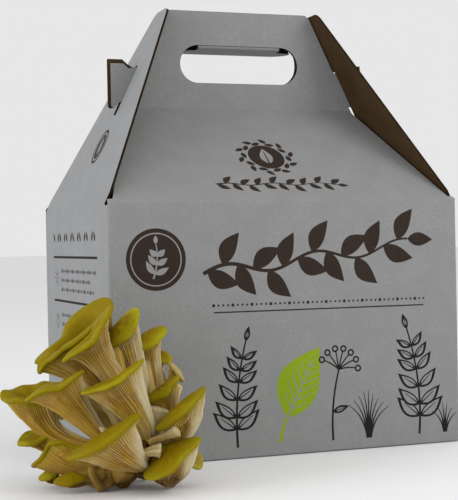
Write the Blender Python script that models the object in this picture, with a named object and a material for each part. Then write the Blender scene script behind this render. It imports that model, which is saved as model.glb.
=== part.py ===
"""Golden oyster mushroom grow kit.

A gable-topped carton of corrugated board stands on the floor, and a cluster of golden oyster mushrooms
stands in front of its front left corner. Run it with blender --background --python part.py, or from
Blender's text editor.

Sizes below are in millimetres and angles in degrees. The origin is the middle of the carton's bottom, on the
floor: +X runs along the front wall to the right, +Y runs from the front to the back, and +Z is up.
"""

import math
from typing import NamedTuple

import bmesh
import bpy
from mathutils import Vector
from mathutils.bvhtree import BVHTree
from mathutils.geometry import tessellate_polygon

MM = 0.001

# Carton: outer sizes
WIDTH = 300.0
DEPTH = 221.0
WALL_HEIGHT = 202.4
HANDLE_CREASE_HEIGHT = 286.0
TOTAL_HEIGHT = 370.0
BOARD = 3.0
GAP = 0.3
CORNER_NOTCH = 2.2

# Gables: side panels that lean inwards
GABLE_TOP_X = 69.0
GABLE_BASE_HALF = 104.5
GABLE_SHOULDER = 9.0
GABLE_TOP_HALF = 15.0
GABLE_CORNER_RADIUS = 11.0
SLOT_HALF_WIDTH = 3.9
SLOT_BOTTOM_HEIGHT = 279.5
SLOT_TOP_HEIGHT = 321.5

# Handle: two upright panels back to back, with a hand hole and a locking ear at each end
HANDLE_HALF_GAP = 0.2
HAND_HOLE_HALF = 54.5
HAND_HOLE_BOTTOM = 308.2
HAND_HOLE_TOP = 340.8
HAND_HOLE_RADIUS = (HAND_HOLE_TOP - HAND_HOLE_BOTTOM) / 2
BACK_HOLE_RISE = 3.3
NECK_BOTTOM_HEIGHT = 283.0
NECK_TOP_HEIGHT = 316.0
FRONT_EAR_X = 116.3
FRONT_EAR_TOP = 323.0
BACK_EAR_X = 117.6
BACK_EAR_TOP = 327.0
EAR_HOOK_X = 105.0
EDGE_CLEARANCE = 0.5
ROOF_TAB = 4.0
BOTTOM_FLAP_LENGTH = 90.0
ARC_STEPS = 6

# Cluster
CORE = Vector((-150.0, -186.0, 23.0))
CORE_RADIUS = 12.0
FOOT_SUBDIVISIONS = 3
FLOOR_LOBES = (
    ((-182, -190, 7), 5.5),
    ((-181, -195, 3), 3.5),
    ((-163, -187, 6), 6.5),
    ((-135, -206, 7), 6.5),
    ((-172, -168, 6), 6.0),
    ((-142, -166, 6), 6.0),
)
ROOT_CLEARANCE = 0.8
PRESS_MARGIN = 1.9
LEAST_SHARE = 0.3
CAP_SHEET = 2.2
CAP_CLEARANCE = 0.8
GILL_EDGE = 1.4
WHITE_BOARD = (0.36, 0.36, 0.36, 1.0)
CAP_YELLOW = (0.30, 0.22, 0.01, 1.0)
STEM_CREAM = (0.36, 0.28, 0.13, 1.0)
FOOT_OCHRE = (0.25, 0.15, 0.04, 1.0)


class Fruit(NamedTuple):
    """One fruit body. Its cap's rim is an oval that leans away from upright towards an azimuth."""

    name: str
    rim: tuple  # middle of the rim
    lean: tuple  # azimuth and angle from upright of the cap's axis
    turn: float  # of the oval's long axis, about the cap's axis, from level
    half: tuple  # half the oval's length and width
    root: tuple  # where the stem leaves the foot
    stem: tuple  # stem radius at the foot and below the gills
    dip: float  # depth of the funnel
    lip: float  # thickness of the rolled margin
    lateral: float = 0.4  # how far the stem stands off the middle, as a share of the radius
    reach: float = 1.1  # how far the gills run down the stem, in cap radii
    hang: float = 0.45  # share of the stem's span that hangs straight below the cap
    sides: int = 16
    waves: tuple = ()  # margin waves: count round the rim, radial share, height, phase


FRUITS = (
    # The ones in front come first, and those behind give way to them
    Fruit("j", (-186, -227, 43), (168, 31), 83, (29, 19), (-155, -210, 20), (6, 7), 6, 6.5,
          waves=((2, 0, 1.5, 0),)),
    Fruit("o", (-139, -226, 26), (-160, 38), 57, (24, 18), (-137, -212, 9), (5, 8), 4, 6.5, lateral=0.1,
          waves=((3, 0.03, 1, 60),)),
    Fruit("f", (-174, -209, 80), (166, 27), 85, (25, 18), (-147, -199, 36), (6, 8), 8, 4.5, lateral=0.3,
          reach=3.0, hang=0.2, waves=((2, 0, 1.5, 0),)),
    Fruit("i", (-129, -217, 57), (173, 40), 80, (23, 15), (-136, -202, 28), (5, 6), 4, 7, lateral=0.1, reach=2.0,
          sides=14, waves=((2, 0, 1, 0),)),
    Fruit("g", (-211, -187, 75), (166, 22), 84, (23, 14), (-167, -189, 28), (4, 5), 6, 4, lateral=0.6, reach=1.2,
          hang=0.3, waves=((3, 0.04, 1.5, 0),)),
    Fruit("l", (-205, -186, 29), (120, 22), 128, (23, 13), (-177, -191, 20), (4, 5), 4, 4, lateral=0.5, reach=1.8,
          sides=14, waves=((4, 0.04, 1, 0),)),
    Fruit("a", (-184, -183, 108), (170, 47), 83, (27, 16), (-149, -184, 42), (5, 6), 7, 4.5, lateral=0.3,
          reach=1.3, hang=0.12, waves=((2, 0, 2, 0),)),
    Fruit("d", (-138, -175, 104), (-160, 38), 57, (14, 11), (-135, -177, 38), (3, 4), 3, 5, reach=1.4, hang=0.2,
          sides=12),
    Fruit("h", (-136, -196, 69), (170, 36), 82, (15, 9), (-137, -189, 36), (4, 5), 4, 5.5, lateral=0.2, reach=1.5,
          sides=12, waves=((2, 0, 1, 0),)),
    Fruit("c", (-158, -175, 112), (-165, 54), 68, (17, 12), (-143, -181, 42), (4, 6), 4, 5, lateral=0.3,
          reach=2.0, hang=0.12, sides=14, waves=((2, 0.03, 1, 0),)),
    Fruit("q", (-119, -181, 79), (-5, 55), -100, (9, 8), (-129, -182, 33), (3, 4), 2, 3.5, lateral=0.2, sides=12),
    Fruit("e", (-124, -161, 89), (-80, 40), -35, (8, 7), (-129, -168, 34), (3, 3), 1, 4, lateral=0.2, sides=12),
    Fruit("u", (-221, -156, 67), (-125, 17), 15, (22, 14), (-170, -177, 24), (4, 5), 6, 5, lateral=0.3, hang=0.6,
          sides=14, waves=((4, 0.06, 1.5, 0),)),
    Fruit("b", (-191, -151, 107), (-170, 45), 68, (36, 20), (-155, -172, 37), (4, 5), 11, 4, lateral=0.3,
          waves=((1, 0.08, 0, 0), (5, 0.03, 1, 0))),
    Fruit("k", (-217, -148, 32), (-163, 22), 55, (14, 12), (-173, -168, 18), (4, 4), 3, 5, sides=12,
          waves=((3, 0.06, 1, 0),)),
    Fruit("m", (-210, -165, 11), (-170, 25), 66, (9, 7), (-184, -178, 8), (3, 3), 2, 4, lateral=0.2, sides=12),
    Fruit("n", (-201, -190, 11), (-140, 20), 30, (12, 8), (-186, -188, 7), (3, 3), 1, 4, lateral=0.2, sides=12),
    Fruit("p", (-117, -203, 20), (-60, 45), 75, (11, 8), (-129, -195, 14), (4, 4), 2, 4.5, lateral=0.2, sides=12),
    Fruit("r", (-156, -136, 78), (70, 32), 0, (20, 15), (-145, -169, 40), (4, 5), 7, 5, lateral=0.3,
          sides=12, waves=((3, 0.05, 1.5, 0),)),
    Fruit("s", (-184, -127, 52), (120, 35), 10, (18, 14), (-157, -166, 28), (4, 4), 5, 5, lateral=0.2, sides=12,
          waves=((3, 0.05, 1, 0),)),
)

# Shares of the stem's run at which the horn of stem and gills has a ring, and shares of the radius for the cap
HORN_STOPS = (0.0, 0.22, 0.45, 0.63, 0.78, 0.9, 1.0)
CAP_STOPS = (0.45, 0.78)


def clear_scene():
    for thing in list(bpy.data.objects):
        bpy.data.objects.remove(thing)


def material(name, colour, roughness):
    made = bpy.data.materials.new(name)
    made.use_nodes = True
    shader = made.node_tree.nodes["Principled BSDF"]
    shader.inputs["Base Color"].default_value = colour
    shader.inputs["Roughness"].default_value = roughness
    shader.inputs["Metallic"].default_value = 0.0
    return made


def add_object(name, points, faces, finish, origin, smooth=False):
    """Points in millimetres become one mesh object placed at its origin, with its faces turned to point out."""
    origin = Vector(origin)
    mesh = bpy.data.meshes.new(name)
    mesh.from_pydata([tuple((Vector(p) - origin) * MM) for p in points], [], faces)
    shape = bmesh.new()
    shape.from_mesh(mesh)
    bmesh.ops.recalc_face_normals(shape, faces=shape.faces)
    shape.to_mesh(mesh)
    shape.free()
    mesh.materials.append(finish)
    if smooth:
        mesh.shade_smooth()
    made = bpy.data.objects.new(name, mesh)
    made.location = origin * MM
    bpy.context.scene.collection.objects.link(made)
    return made


def arc(centre, radius, start, end, steps=ARC_STEPS):
    """Points along an arc, from start to end in degrees."""
    angles = [math.radians(start + (end - start) * i / steps) for i in range(steps + 1)]
    return [(centre[0] + radius * math.cos(a), centre[1] + radius * math.sin(a)) for a in angles]


def board(name, place, outer, finish, inner=None, hole=None):
    """A board panel. place is its origin, its two in-plane directions and the way through its thickness.

    outer is the outline of the printed face, inner that of the kraft face where creases are mitred.
    """
    origin, across, along, through = (Vector(v) for v in place)
    inner = inner or outer
    loops = [outer] + ([hole] if hole else [])
    inner_loops = [inner] + ([hole] if hole else [])
    flat = [Vector((a, b, 0)) for loop in loops for a, b in loop]
    count = len(flat)
    front = [origin + across * a + along * b for loop in loops for a, b in loop]
    back = [origin + across * a + along * b + through * BOARD for loop in inner_loops for a, b in loop]
    lids = tessellate_polygon([[Vector((a, b, 0)) for a, b in loop] for loop in loops])
    faces = [tuple(tri) for tri in lids] + [tuple(i + count for i in reversed(tri)) for tri in lids]
    start = 0
    for loop in loops:
        size = len(loop)
        for i in range(size):
            j = (i + 1) % size
            faces.append((start + i, start + j, start + j + count, start + i + count))
        start += size
    return add_object(name, front + back, faces, finish, origin)


def mirrored(points):
    """A left half added to a right half's outline that runs from the bottom middle up to the top middle."""
    return points + [(-a, b) for a, b in reversed(points)]


def gable_x(height):
    """Distance of a gable's outer face from the middle plane."""
    rise = (height - WALL_HEIGHT) / (TOTAL_HEIGHT - WALL_HEIGHT)
    return WIDTH / 2 + (GABLE_TOP_X - WIDTH / 2) * rise


def inside_gable_x(height):
    """Where a panel that ends at a gable stops, clear of the gable's inner face."""
    lean = math.atan2(WIDTH / 2 - GABLE_TOP_X, TOTAL_HEIGHT - WALL_HEIGHT)
    return gable_x(height) - BOARD / math.cos(lean) - EDGE_CLEARANCE


def make_walls(finish):
    half_w, half_d = WIDTH / 2, DEPTH / 2
    roof_fold = math.pi / 2 - math.atan2(HANDLE_CREASE_HEIGHT - WALL_HEIGHT, half_d - BOARD - HANDLE_HALF_GAP)
    gable_fold = math.atan2(half_w - GABLE_TOP_X, TOTAL_HEIGHT - WALL_HEIGHT)
    for name, side, half, normal, fold in (
        ("front_wall", (1, 0, 0), half_w, (0, 1, 0), roof_fold),
        ("back_wall", (1, 0, 0), half_w, (0, -1, 0), roof_fold),
        ("left_wall", (0, 1, 0), half_d, (1, 0, 0), gable_fold),
        ("right_wall", (0, 1, 0), half_d, (-1, 0, 0), gable_fold),
    ):
        reach = half_d if side[0] else half_w
        edge = half - GAP / 2
        top = WALL_HEIGHT - GAP / 2
        low_top = top if side[0] else top - CORNER_NOTCH
        step = edge - 3 * CORNER_NOTCH
        outer = [(edge, 0), (edge, low_top), (step, low_top), (step, top)]
        edge -= BOARD
        top -= BOARD * math.tan(fold / 2)
        low_top = top if side[0] else low_top
        inner = [(edge, 0), (edge, low_top), (step, low_top), (step, top)]
        if side[0]:
            outer, inner = [outer[0], outer[1]], [inner[0], inner[1]]
        origin = -reach * Vector(normal)
        board(name, (origin, side, (0, 0, 1), normal), mirrored(outer), finish, mirrored(inner))


def make_bottom(finish):
    """Four bottom flaps: the back one covers the whole bottom, and the others lie on it."""
    across = WIDTH / 2 - BOARD - 2 * GAP
    deep = DEPTH / 2 - BOARD - 2 * GAP
    short = BOTTOM_FLAP_LENGTH
    full = [(across, deep), (-across, deep), (-across, -deep), (across, -deep)]
    board("bottom_flap_back", ((0, 0, 0), (1, 0, 0), (0, 1, 0), (0, 0, 1)), full, finish)
    level = BOARD + GAP
    board("bottom_flap_front", ((0, 0, level), (1, 0, 0), (0, 1, 0), (0, 0, 1)), full, finish)
    side = [(0, deep), (0, -deep), (short, -deep + 6), (short, deep - 6)]
    for name, sign in (("bottom_flap_left", 1), ("bottom_flap_right", -1)):
        place = ((-sign * across, 0, 2 * level), (sign, 0, 0), (0, 1, 0), (0, 0, 1))
        board(name, place, side, finish)


def make_gables(finish):
    lean = math.atan2(WIDTH / 2 - GABLE_TOP_X, TOTAL_HEIGHT - WALL_HEIGHT)
    length = math.hypot(WIDTH / 2 - GABLE_TOP_X, TOTAL_HEIGHT - WALL_HEIGHT)

    def up(height):
        return (height - WALL_HEIGHT) / math.cos(lean)

    radius = GABLE_CORNER_RADIUS
    slope = math.degrees(math.atan2(length - GABLE_SHOULDER, GABLE_BASE_HALF - GABLE_TOP_HALF))
    corner = (GABLE_TOP_HALF - 5, length - radius)
    foot = GAP / 2
    half = [(GABLE_BASE_HALF, foot), (GABLE_BASE_HALF, GABLE_SHOULDER)]
    half += arc(corner, radius, 90 - slope, 90)
    inner = [(a, b + BOARD * math.tan(lean / 2) if b == foot else b) for a, b in half]
    slot = [(SLOT_HALF_WIDTH, up(SLOT_BOTTOM_HEIGHT)), (SLOT_HALF_WIDTH, up(SLOT_TOP_HEIGHT))]
    for name, sign in (("gable_left", -1), ("gable_right", 1)):
        place = (
            (sign * WIDTH / 2, 0, WALL_HEIGHT),
            (0, 1, 0),
            (-sign * math.sin(lean), 0, math.cos(lean)),
            (-sign * math.cos(lean), 0, -math.sin(lean)),
        )
        board(name, place, mirrored(half), finish, mirrored(inner), mirrored(slot))


def make_roof(finish):
    half_d = DEPTH / 2
    run = half_d - BOARD - HANDLE_HALF_GAP
    rise = HANDLE_CREASE_HEIGHT - WALL_HEIGHT
    length = math.hypot(run, rise)
    slope = math.atan2(rise, run)
    mitre = BOARD * math.tan((math.pi / 2 - slope) / 2)
    tab = ROOF_TAB
    low, high = GAP / 2, length - GAP

    def edge(along):
        return inside_gable_x(WALL_HEIGHT + along * math.sin(slope))

    half = [(WIDTH / 2 - GAP, low), (WIDTH / 2 - 1, tab), (edge(tab) - 0.5, tab + 0.6), (edge(high) - 1.5, high)]
    inner = [(half[0][0] - BOARD, low + mitre), (half[1][0] - 1, tab), half[2], (half[3][0], high + mitre)]
    for name, sign in (("roof_front", 1), ("roof_back", -1)):
        place = (
            (0, -sign * half_d, WALL_HEIGHT),
            (1, 0, 0),
            (0, sign * math.cos(slope), math.sin(slope)),
            (0, sign * math.sin(slope), -math.cos(slope)),
        )
        board(name, place, mirrored(half), finish, mirrored(inner))
    return mitre


def stadium(top):
    """The hand hole's outline, up to the given top."""
    radius = HAND_HOLE_RADIUS
    straight = HAND_HOLE_HALF - radius
    low = arc((straight, HAND_HOLE_BOTTOM + radius), radius, -90, 0)
    high = arc((straight, top - radius), radius, 0, 90)
    return mirrored(low + high)


def make_handles(finish, mitre):
    """Two upright panels. Each has an ear that passes through a gable's slot and hooks over its top end."""
    for name, sign, ear_x, ear_top, lift, hole_top in (
        ("handle_front", 1, FRONT_EAR_X, FRONT_EAR_TOP, 0.0, HAND_HOLE_TOP),
        ("handle_back", -1, BACK_EAR_X, BACK_EAR_TOP, 0.8, HAND_HOLE_TOP + BACK_HOLE_RISE),
    ):
        low = HANDLE_CREASE_HEIGHT + GAP
        top = TOTAL_HEIGHT + lift
        neck = NECK_TOP_HEIGHT
        half = [
            (inside_gable_x(low), low),
            (inside_gable_x(low) + 1.5, NECK_BOTTOM_HEIGHT),
            (ear_x - 3, NECK_BOTTOM_HEIGHT),
            (ear_x, NECK_BOTTOM_HEIGHT + 3),
            (ear_x, ear_top),
            (EAR_HOOK_X, ear_top),
            (EAR_HOOK_X - 4.5, ear_top - 4),
            (gable_x(neck) + 2, neck),
            (inside_gable_x(neck), neck),
            (inside_gable_x(top - 3), top - 3),
            (inside_gable_x(top) - 2, top),
        ]
        inner = [(half[0][0], low - mitre)] + half[1:]
        place = ((0, -sign * (BOARD + HANDLE_HALF_GAP), 0), (1, 0, 0), (0, 0, 1), (0, sign, 0))
        board(name, place, mirrored(half), finish, mirrored(inner), stadium(hole_top))


def make_hand_flaps(finish):
    """The two flaps cut from the hand hole, folded level to the back: the front panel's lies under the other."""
    radius = HAND_HOLE_RADIUS
    straight = HAND_HOLE_HALF - radius
    clear = 2 * BOARD + 2
    tip = [(straight - 0.5, 0.3), (straight - 0.5, clear), (HAND_HOLE_HALF - 3, radius - 3)]
    tip += arc((straight, radius), radius - 0.3, 0, 90)
    for name, front, level in (
        ("hand_flap_front", -BOARD, HAND_HOLE_TOP - BOARD - GAP),
        ("hand_flap_back", HANDLE_HALF_GAP, HAND_HOLE_TOP),
    ):
        place = ((0, front, level), (1, 0, 0), (0, 1, 0), (0, 0, 1))
        board(name, place, mirrored(tip), finish)


def direction(azimuth, from_upright):
    a, p = math.radians(azimuth), math.radians(from_upright)
    return Vector((math.sin(p) * math.cos(a), math.sin(p) * math.sin(a), math.cos(p)))


def cap_axes(fruit):
    """The cap's long direction, wide direction and axis."""
    axis = direction(*fruit.lean)
    level = Vector((0, 0, 1)).cross(axis).normalized()
    other = axis.cross(level)
    turn = math.radians(fruit.turn)
    long = level * math.cos(turn) + other * math.sin(turn)
    return long, axis.cross(long), axis


def rim_at(fruit, angle):
    """Rim radius and height above the rim's plane at an angle round the cap."""
    a, b = fruit.half
    radius = a * b / math.hypot(b * math.cos(angle), a * math.sin(angle))
    height = 0.0
    for count, share, lift, phase in fruit.waves:
        wave = math.cos(count * angle + math.radians(phase))
        radius *= 1 + share * wave
        height += lift * wave
    return radius, height


def throat_of(fruit):
    """Where the stem meets the rim's plane, shifted from the middle towards the root."""
    long, wide, axis = cap_axes(fruit)
    rim = Vector(fruit.rim)
    away = Vector(fruit.root) - rim
    away -= axis * away.dot(axis)
    shift = away.normalized() * fruit.lateral * (fruit.half[0] + fruit.half[1]) / 2
    return rim + shift, shift.dot(long), shift.dot(wide)


def spine_lead(fruit):
    """The way in which a stem leaves the foot: half outwards from the core, half towards its throat."""
    throat = throat_of(fruit)[0]
    root = Vector(fruit.root)
    return ((root - CORE).normalized() + (throat - root).normalized()).normalized()


def spine_of(fruit):
    """Bezier points of the stem's run, from the foot up to the throat."""
    throat = throat_of(fruit)[0]
    axis = cap_axes(fruit)[2]
    root = Vector(fruit.root)
    span = (throat - root).length
    return root, root + spine_lead(fruit) * span * 0.3, throat - axis * span * fruit.hang, throat


def flare_at(fruit, t):
    """Share of the way from a plain stem to the rim's full width, at a share of the stem's run."""
    span = (throat_of(fruit)[0] - Vector(fruit.root)).length
    fade = span / (fruit.reach * (fruit.half[0] + fruit.half[1]) / 2)
    return (math.exp((t - 1) * fade) - math.exp(-fade)) / (1 - math.exp(-fade))


def bezier(points, t):
    p0, p1, p2, p3 = points
    s = 1 - t
    place = p0 * s**3 + p1 * 3 * s * s * t + p2 * 3 * s * t * t + p3 * t**3
    tangent = (p1 - p0) * s * s + (p2 - p1) * 2 * s * t + (p3 - p2) * t * t
    return place, tangent.normalized()


def frames_along(fruit, stops):
    """Places and directions along the spine, carried down from the cap's own directions without twist."""
    long, wide, axis = cap_axes(fruit)
    spine = spine_of(fruit)
    result = []
    along = axis
    for t in reversed(stops):
        place, tangent = bezier(spine, t)
        turn = along.rotation_difference(tangent)
        long = turn @ long
        wide = turn @ wide
        along = tangent
        result.append((place, long.copy(), wide.copy(), tangent))
    return list(reversed(result))


def loops_to_faces(loops, sides):
    """Quads between neighbouring loops of points, with a fan at each end's single point."""
    faces = []
    last = loops * sides
    for k in range(loops - 1):
        for i in range(sides):
            j = (i + 1) % sides
            faces.append((k * sides + i, k * sides + j, (k + 1) * sides + j, (k + 1) * sides + i))
    for i in range(sides):
        j = (i + 1) % sides
        faces.append((last, j, i))
        faces.append((last + 1, (loops - 1) * sides + i, (loops - 1) * sides + j))
    return faces


def top_height(fruit, share, rim_height):
    """Height of the funnel's top surface at a share of the radius."""
    return rim_height * share * share - fruit.dip * (1 - share) ** 1.6


def tree_of(item):
    """Search tree of an object's surface, in millimetres."""
    corners = [(item.location + vert.co) / MM for vert in item.data.vertices]
    return BVHTree.FromPolygons(corners, [tuple(face.vertices) for face in item.data.polygons])


def blocked(point, trees, margin):
    """True where a point lies in a neighbour, or nearer to it than the margin."""
    for tree in trees:
        place, normal, _, distance = tree.find_nearest(point, 40.0)
        if place is not None and (distance < margin or (point - place).dot(normal) < 0):
            return True
    return False


def make_stem(fruit, finish, trees):
    """Stem and gills: a horn that flares from the foot to the inside of the rolled margin.

    It gives way to the neighbours in trees: where it would meet one, it is pressed in towards its own spine.
    """
    sides = fruit.sides
    angles = [2 * math.pi * i / sides for i in range(sides)]
    _, off_long, off_wide = throat_of(fruit)
    curl = fruit.lip / 2
    drop = CAP_SHEET + CAP_CLEARANCE + GILL_EDGE
    root_radius, neck_radius = fruit.stem
    rings = []
    cap_long, cap_wide, axis = cap_axes(fruit)
    for t, (place, long, wide, tangent) in zip(HORN_STOPS, frames_along(fruit, HORN_STOPS)):
        flare = flare_at(fruit, t)
        long, wide, tangent = long.lerp(cap_long, flare), wide.lerp(cap_wide, flare), tangent.lerp(axis, flare)
        round_radius = root_radius + (neck_radius - root_radius) * min(1, t / 0.5)
        ring = []
        for angle in angles:
            radius, height = rim_at(fruit, angle)
            radius -= 2 * curl + CAP_CLEARANCE
            x = (radius * math.cos(angle) - off_long) * flare + round_radius * math.cos(angle) * (1 - flare)
            y = (radius * math.sin(angle) - off_wide) * flare + round_radius * math.sin(angle) * (1 - flare)
            ring.append(place + long * x + wide * y + tangent * (height - drop) * flare)
        rings.append((place, ring))
    points = []
    for t, (centre, ring) in zip(HORN_STOPS, rings):
        shares = []
        for point in ring:
            share = 1.0
            while t < 1 and share > LEAST_SHARE and blocked(centre.lerp(point, share), trees, PRESS_MARGIN):
                share -= 0.06
            shares.append(share)
        for i, point in enumerate(ring):
            share = min(shares[i], (shares[i - 1] + shares[i] + shares[(i + 1) % sides]) / 3)
            points.append(centre.lerp(point, share))
    rim = Vector(fruit.rim)
    base = CAP_SHEET + CAP_CLEARANCE
    for share in (1.0, CAP_STOPS[0]):
        for angle in angles:
            radius, height = rim_at(fruit, angle)
            radius = (radius - 2 * curl - CAP_CLEARANCE) * share
            place = rim + cap_long * radius * math.cos(angle) + cap_wide * radius * math.sin(angle)
            points.append(place + axis * (top_height(fruit, share, height) - base))
    points.append(Vector(fruit.root))
    points.append(rim + axis * (top_height(fruit, 0, 0) - base))
    faces = loops_to_faces(len(HORN_STOPS) + 2, sides)
    return add_object("stem_" + fruit.name, points, faces, finish, fruit.root, smooth=True)


def round_cone(point, end, start_radius, end_radius):
    """Distance from a point to a round-ended cone between the core and an end."""
    axis = end - CORE
    share = max(0.0, min(1.0, (point - CORE).dot(axis) / axis.length_squared))
    radius = start_radius + (end_radius - start_radius) * share
    return (point - CORE - axis * share).length - radius


def make_foot(finish):
    """The foot, where all stems grow together: its branches reach each stem's root, and its lobes the floor."""
    branches = []
    for fruit in FRUITS:
        root = Vector(fruit.root)
        radius = fruit.stem[0]
        lead = spine_lead(fruit)
        branches.append((root - lead * (radius + ROOT_CLEARANCE), radius))
    for end, radius in FLOOR_LOBES:
        branches.append((Vector(end), radius))
    shape = bmesh.new()
    bmesh.ops.create_icosphere(shape, subdivisions=FOOT_SUBDIVISIONS, radius=1.0)
    points = []
    for vert in shape.verts:
        way = vert.co.normalized()
        near, far = 0.0, 80.0
        for _ in range(18):
            middle = (near + far) / 2
            point = CORE + way * middle
            if min(round_cone(point, end, CORE_RADIUS, radius) for end, radius in branches) < 0:
                near = middle
            else:
                far = middle
        point = CORE + way * near
        points.append(Vector((point.x, point.y, max(point.z, 0.0))))
    faces = [tuple(v.index for v in face.verts) for face in shape.faces]
    shape.free()
    return add_object("foot", points, faces, finish, CORE, smooth=True)


def make_cap(fruit, finish):
    """A thin funnel of cap flesh with a thick rolled margin."""
    sides = fruit.sides
    angles = [2 * math.pi * i / sides for i in range(sides)]
    long, wide, axis = cap_axes(fruit)
    rim = Vector(fruit.rim)
    curl = fruit.lip / 2
    points = []

    def ring(inset, share, level):
        for angle in angles:
            radius, height = rim_at(fruit, angle)
            radius = (radius - inset) * share
            place = rim + long * radius * math.cos(angle) + wide * radius * math.sin(angle)
            lift = top_height(fruit, share, height) if share < 1 else height
            points.append(place + axis * (lift + level))

    for share in CAP_STOPS:
        ring(curl, share, 0)
    ring(curl, 1, 0)
    ring(0, 1, -curl)
    ring(curl, 1, -2 * curl)
    ring(2 * curl, 1, -CAP_SHEET)
    ring(2 * curl, CAP_STOPS[0], -CAP_SHEET)
    loops = len(points) // sides
    points.append(rim + axis * top_height(fruit, 0, 0))
    points.append(rim + axis * (top_height(fruit, 0, 0) - CAP_SHEET))
    faces = loops_to_faces(loops, sides)
    return add_object("cap_" + fruit.name, points, faces, finish, fruit.rim, smooth=True)


def main():
    clear_scene()
    white = material("white_board", WHITE_BOARD, 0.75)
    yellow = material("cap_skin", CAP_YELLOW, 0.5)
    cream = material("stem_flesh", STEM_CREAM, 0.6)
    ochre = material("foot_flesh", FOOT_OCHRE, 0.7)
    make_walls(white)
    make_bottom(white)
    make_gables(white)
    mitre = make_roof(white)
    make_handles(white, mitre)
    make_hand_flaps(white)
    made = [make_foot(ochre)]
    caps = {fruit.name: make_cap(fruit, yellow) for fruit in FRUITS}
    for fruit in FRUITS:
        others = made + [cap for name, cap in caps.items() if name != fruit.name]
        made.append(make_stem(fruit, cream, [tree_of(item) for item in others]))


main()
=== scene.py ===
"""Looks of the golden oyster mushroom grow kit: a printed carton of corrugated board, and the cluster of
golden oyster mushrooms in front of its corner.

Sizes are in millimetres and angles in degrees where nothing else is said. The pieces follow the frame: the
carton's panels repeat its driving sizes, and each fruit body takes the form of its own solids.
"""

import math
import random
from dataclasses import dataclass

import bmesh
import bpy
import numpy as np
from mathutils import Matrix, Vector, noise
from mathutils.bvhtree import BVHTree
from mathutils.geometry import delaunay_2d_cdt


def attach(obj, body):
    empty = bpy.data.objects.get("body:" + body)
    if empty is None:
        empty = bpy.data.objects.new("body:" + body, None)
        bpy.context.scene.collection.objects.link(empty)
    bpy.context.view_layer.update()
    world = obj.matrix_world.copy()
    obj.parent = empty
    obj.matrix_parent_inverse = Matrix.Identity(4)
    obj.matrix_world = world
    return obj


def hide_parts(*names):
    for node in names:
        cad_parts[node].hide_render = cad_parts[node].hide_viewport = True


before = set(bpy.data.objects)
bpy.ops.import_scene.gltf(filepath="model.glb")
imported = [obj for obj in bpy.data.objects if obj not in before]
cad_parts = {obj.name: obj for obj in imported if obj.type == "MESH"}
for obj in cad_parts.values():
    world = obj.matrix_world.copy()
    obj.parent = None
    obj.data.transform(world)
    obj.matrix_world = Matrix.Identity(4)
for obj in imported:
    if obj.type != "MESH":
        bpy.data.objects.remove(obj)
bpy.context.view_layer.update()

MM = 0.001
SEED = 11

# Camera
CAMERA_PLACE = (-402.57, -1068.80, 170.54)
CAMERA_TURN = 20.074
CAMERA_PITCH = -0.358
CAMERA_ROLL = 1.12
CAMERA_LENS = 93.9
CAMERA_SENSOR = 36.0

# Carton
WIDTH = 300.0
DEPTH = 221.0
WALL_HEIGHT = 202.4
HANDLE_CREASE_HEIGHT = 286.0
TOTAL_HEIGHT = 370.0
BOARD = 3.0
GABLE_BOARD = 1.9
GAP = 0.3
CORNER_NOTCH = 2.2  # depth of the notch in a side wall's upper corners
CORNER_NOTCH_WIDTH = 6.6
GABLE_TOP_X = 69.0
GABLE_BASE_HALF = 104.5
GABLE_SHOULDER = 9.0
GABLE_TOP_HALF = 15.0
GABLE_CORNER_RADIUS = 11.0
SLOT_HALF_WIDTH = 3.9
SLOT_BOTTOM_HEIGHT = 279.5
SLOT_TOP_HEIGHT = 321.5
HANDLE_HALF_GAP = 0.2
HAND_HOLE_HALF = 54.5
HAND_HOLE_BOTTOM = 308.2
HAND_HOLE_TOP = 340.8
HAND_HOLE_RADIUS = (HAND_HOLE_TOP - HAND_HOLE_BOTTOM) / 2
BACK_RISE = 0.8  # how much higher the back handle panel is than the front one
BACK_HOLE_RISE = 3.3  # how much higher its hole goes
EAR_BOTTOM = 285.0
NECK_BOTTOM_HEIGHT = 290.5
NECK_TOP_HEIGHT = 320.0
FRONT_EAR_X = 116.3
FRONT_EAR_TOP = 323.0
BACK_EAR_X = 117.6
BACK_EAR_TOP = 327.0
EAR_HOOK_X = 105.0
EDGE_CLEARANCE = 0.5
ROOF_TAB = 4.0

# Board: two liners with a fluted sheet between them
LINER = 0.4
FLUTE_SHEET = 0.3
FLUTE_PITCH = 6.4
FLUTE_STEPS = 8
FLUTE_INSET = 0.35
CREASE_RADIUS = 2.0
VALLEY_RADIUS = 0.8
CREASE_STEPS = 5
ARC_STEPS = 10  # for each rounded corner
SHARP_ANGLE = 32
FAR = 400.0  # beyond every panel's edge

# Materials of a panel, in slot order
WHITE, KRAFT, BROWN, GREEN, BLACK, EDGE = range(6)

# Cluster
CORE = Vector((-150.0, -186.0, 23.0))  # where all branches of the foot meet
CORE_RADIUS = 12.0
SOFT_JOINT = 0.9  # how softly the branches run into each other
FLOOR_LOBES = (  # ends of branches near the floor, with their radii
    ((-182, -190, 7), 5.5),
    ((-181, -195, 3), 3.5),
    ((-163, -187, 6), 6.5),
    ((-135, -206, 7), 6.5),
    ((-172, -168, 6), 6.0),
    ((-142, -166, 6), 6.0),
)
CAP_SHEET = 2.2
THROAT_SHARES = (0.6, 0.3, 0.15, 0.05)  # rings under the cap's top, down into its throat
MARGIN_END = -135  # how far round the margin rolls under
GILL_INSET = 1.2  # from the margin's outer edge, in halves of the margin's thickness
GILL_DROP = 1.9  # from its top, in the same halves
GILL_PITCH = 2.5
GILL_DEPTH = 1.6
GILL_TIERS = ((4, -0.2, 0.02), (2, 0.10, 0.30), (1, 0.42, 0.68))  # spacing, and the flare where they rise
PALE_SIDE = (0.93, -0.2, 0.1)  # the flanks of the stems that look this way, to the right, are pale: partly a smooth flank without gills, partly a painted highlight
OVER_FLOOR = 0.3  # how far the shoots stay over the floor

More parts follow.
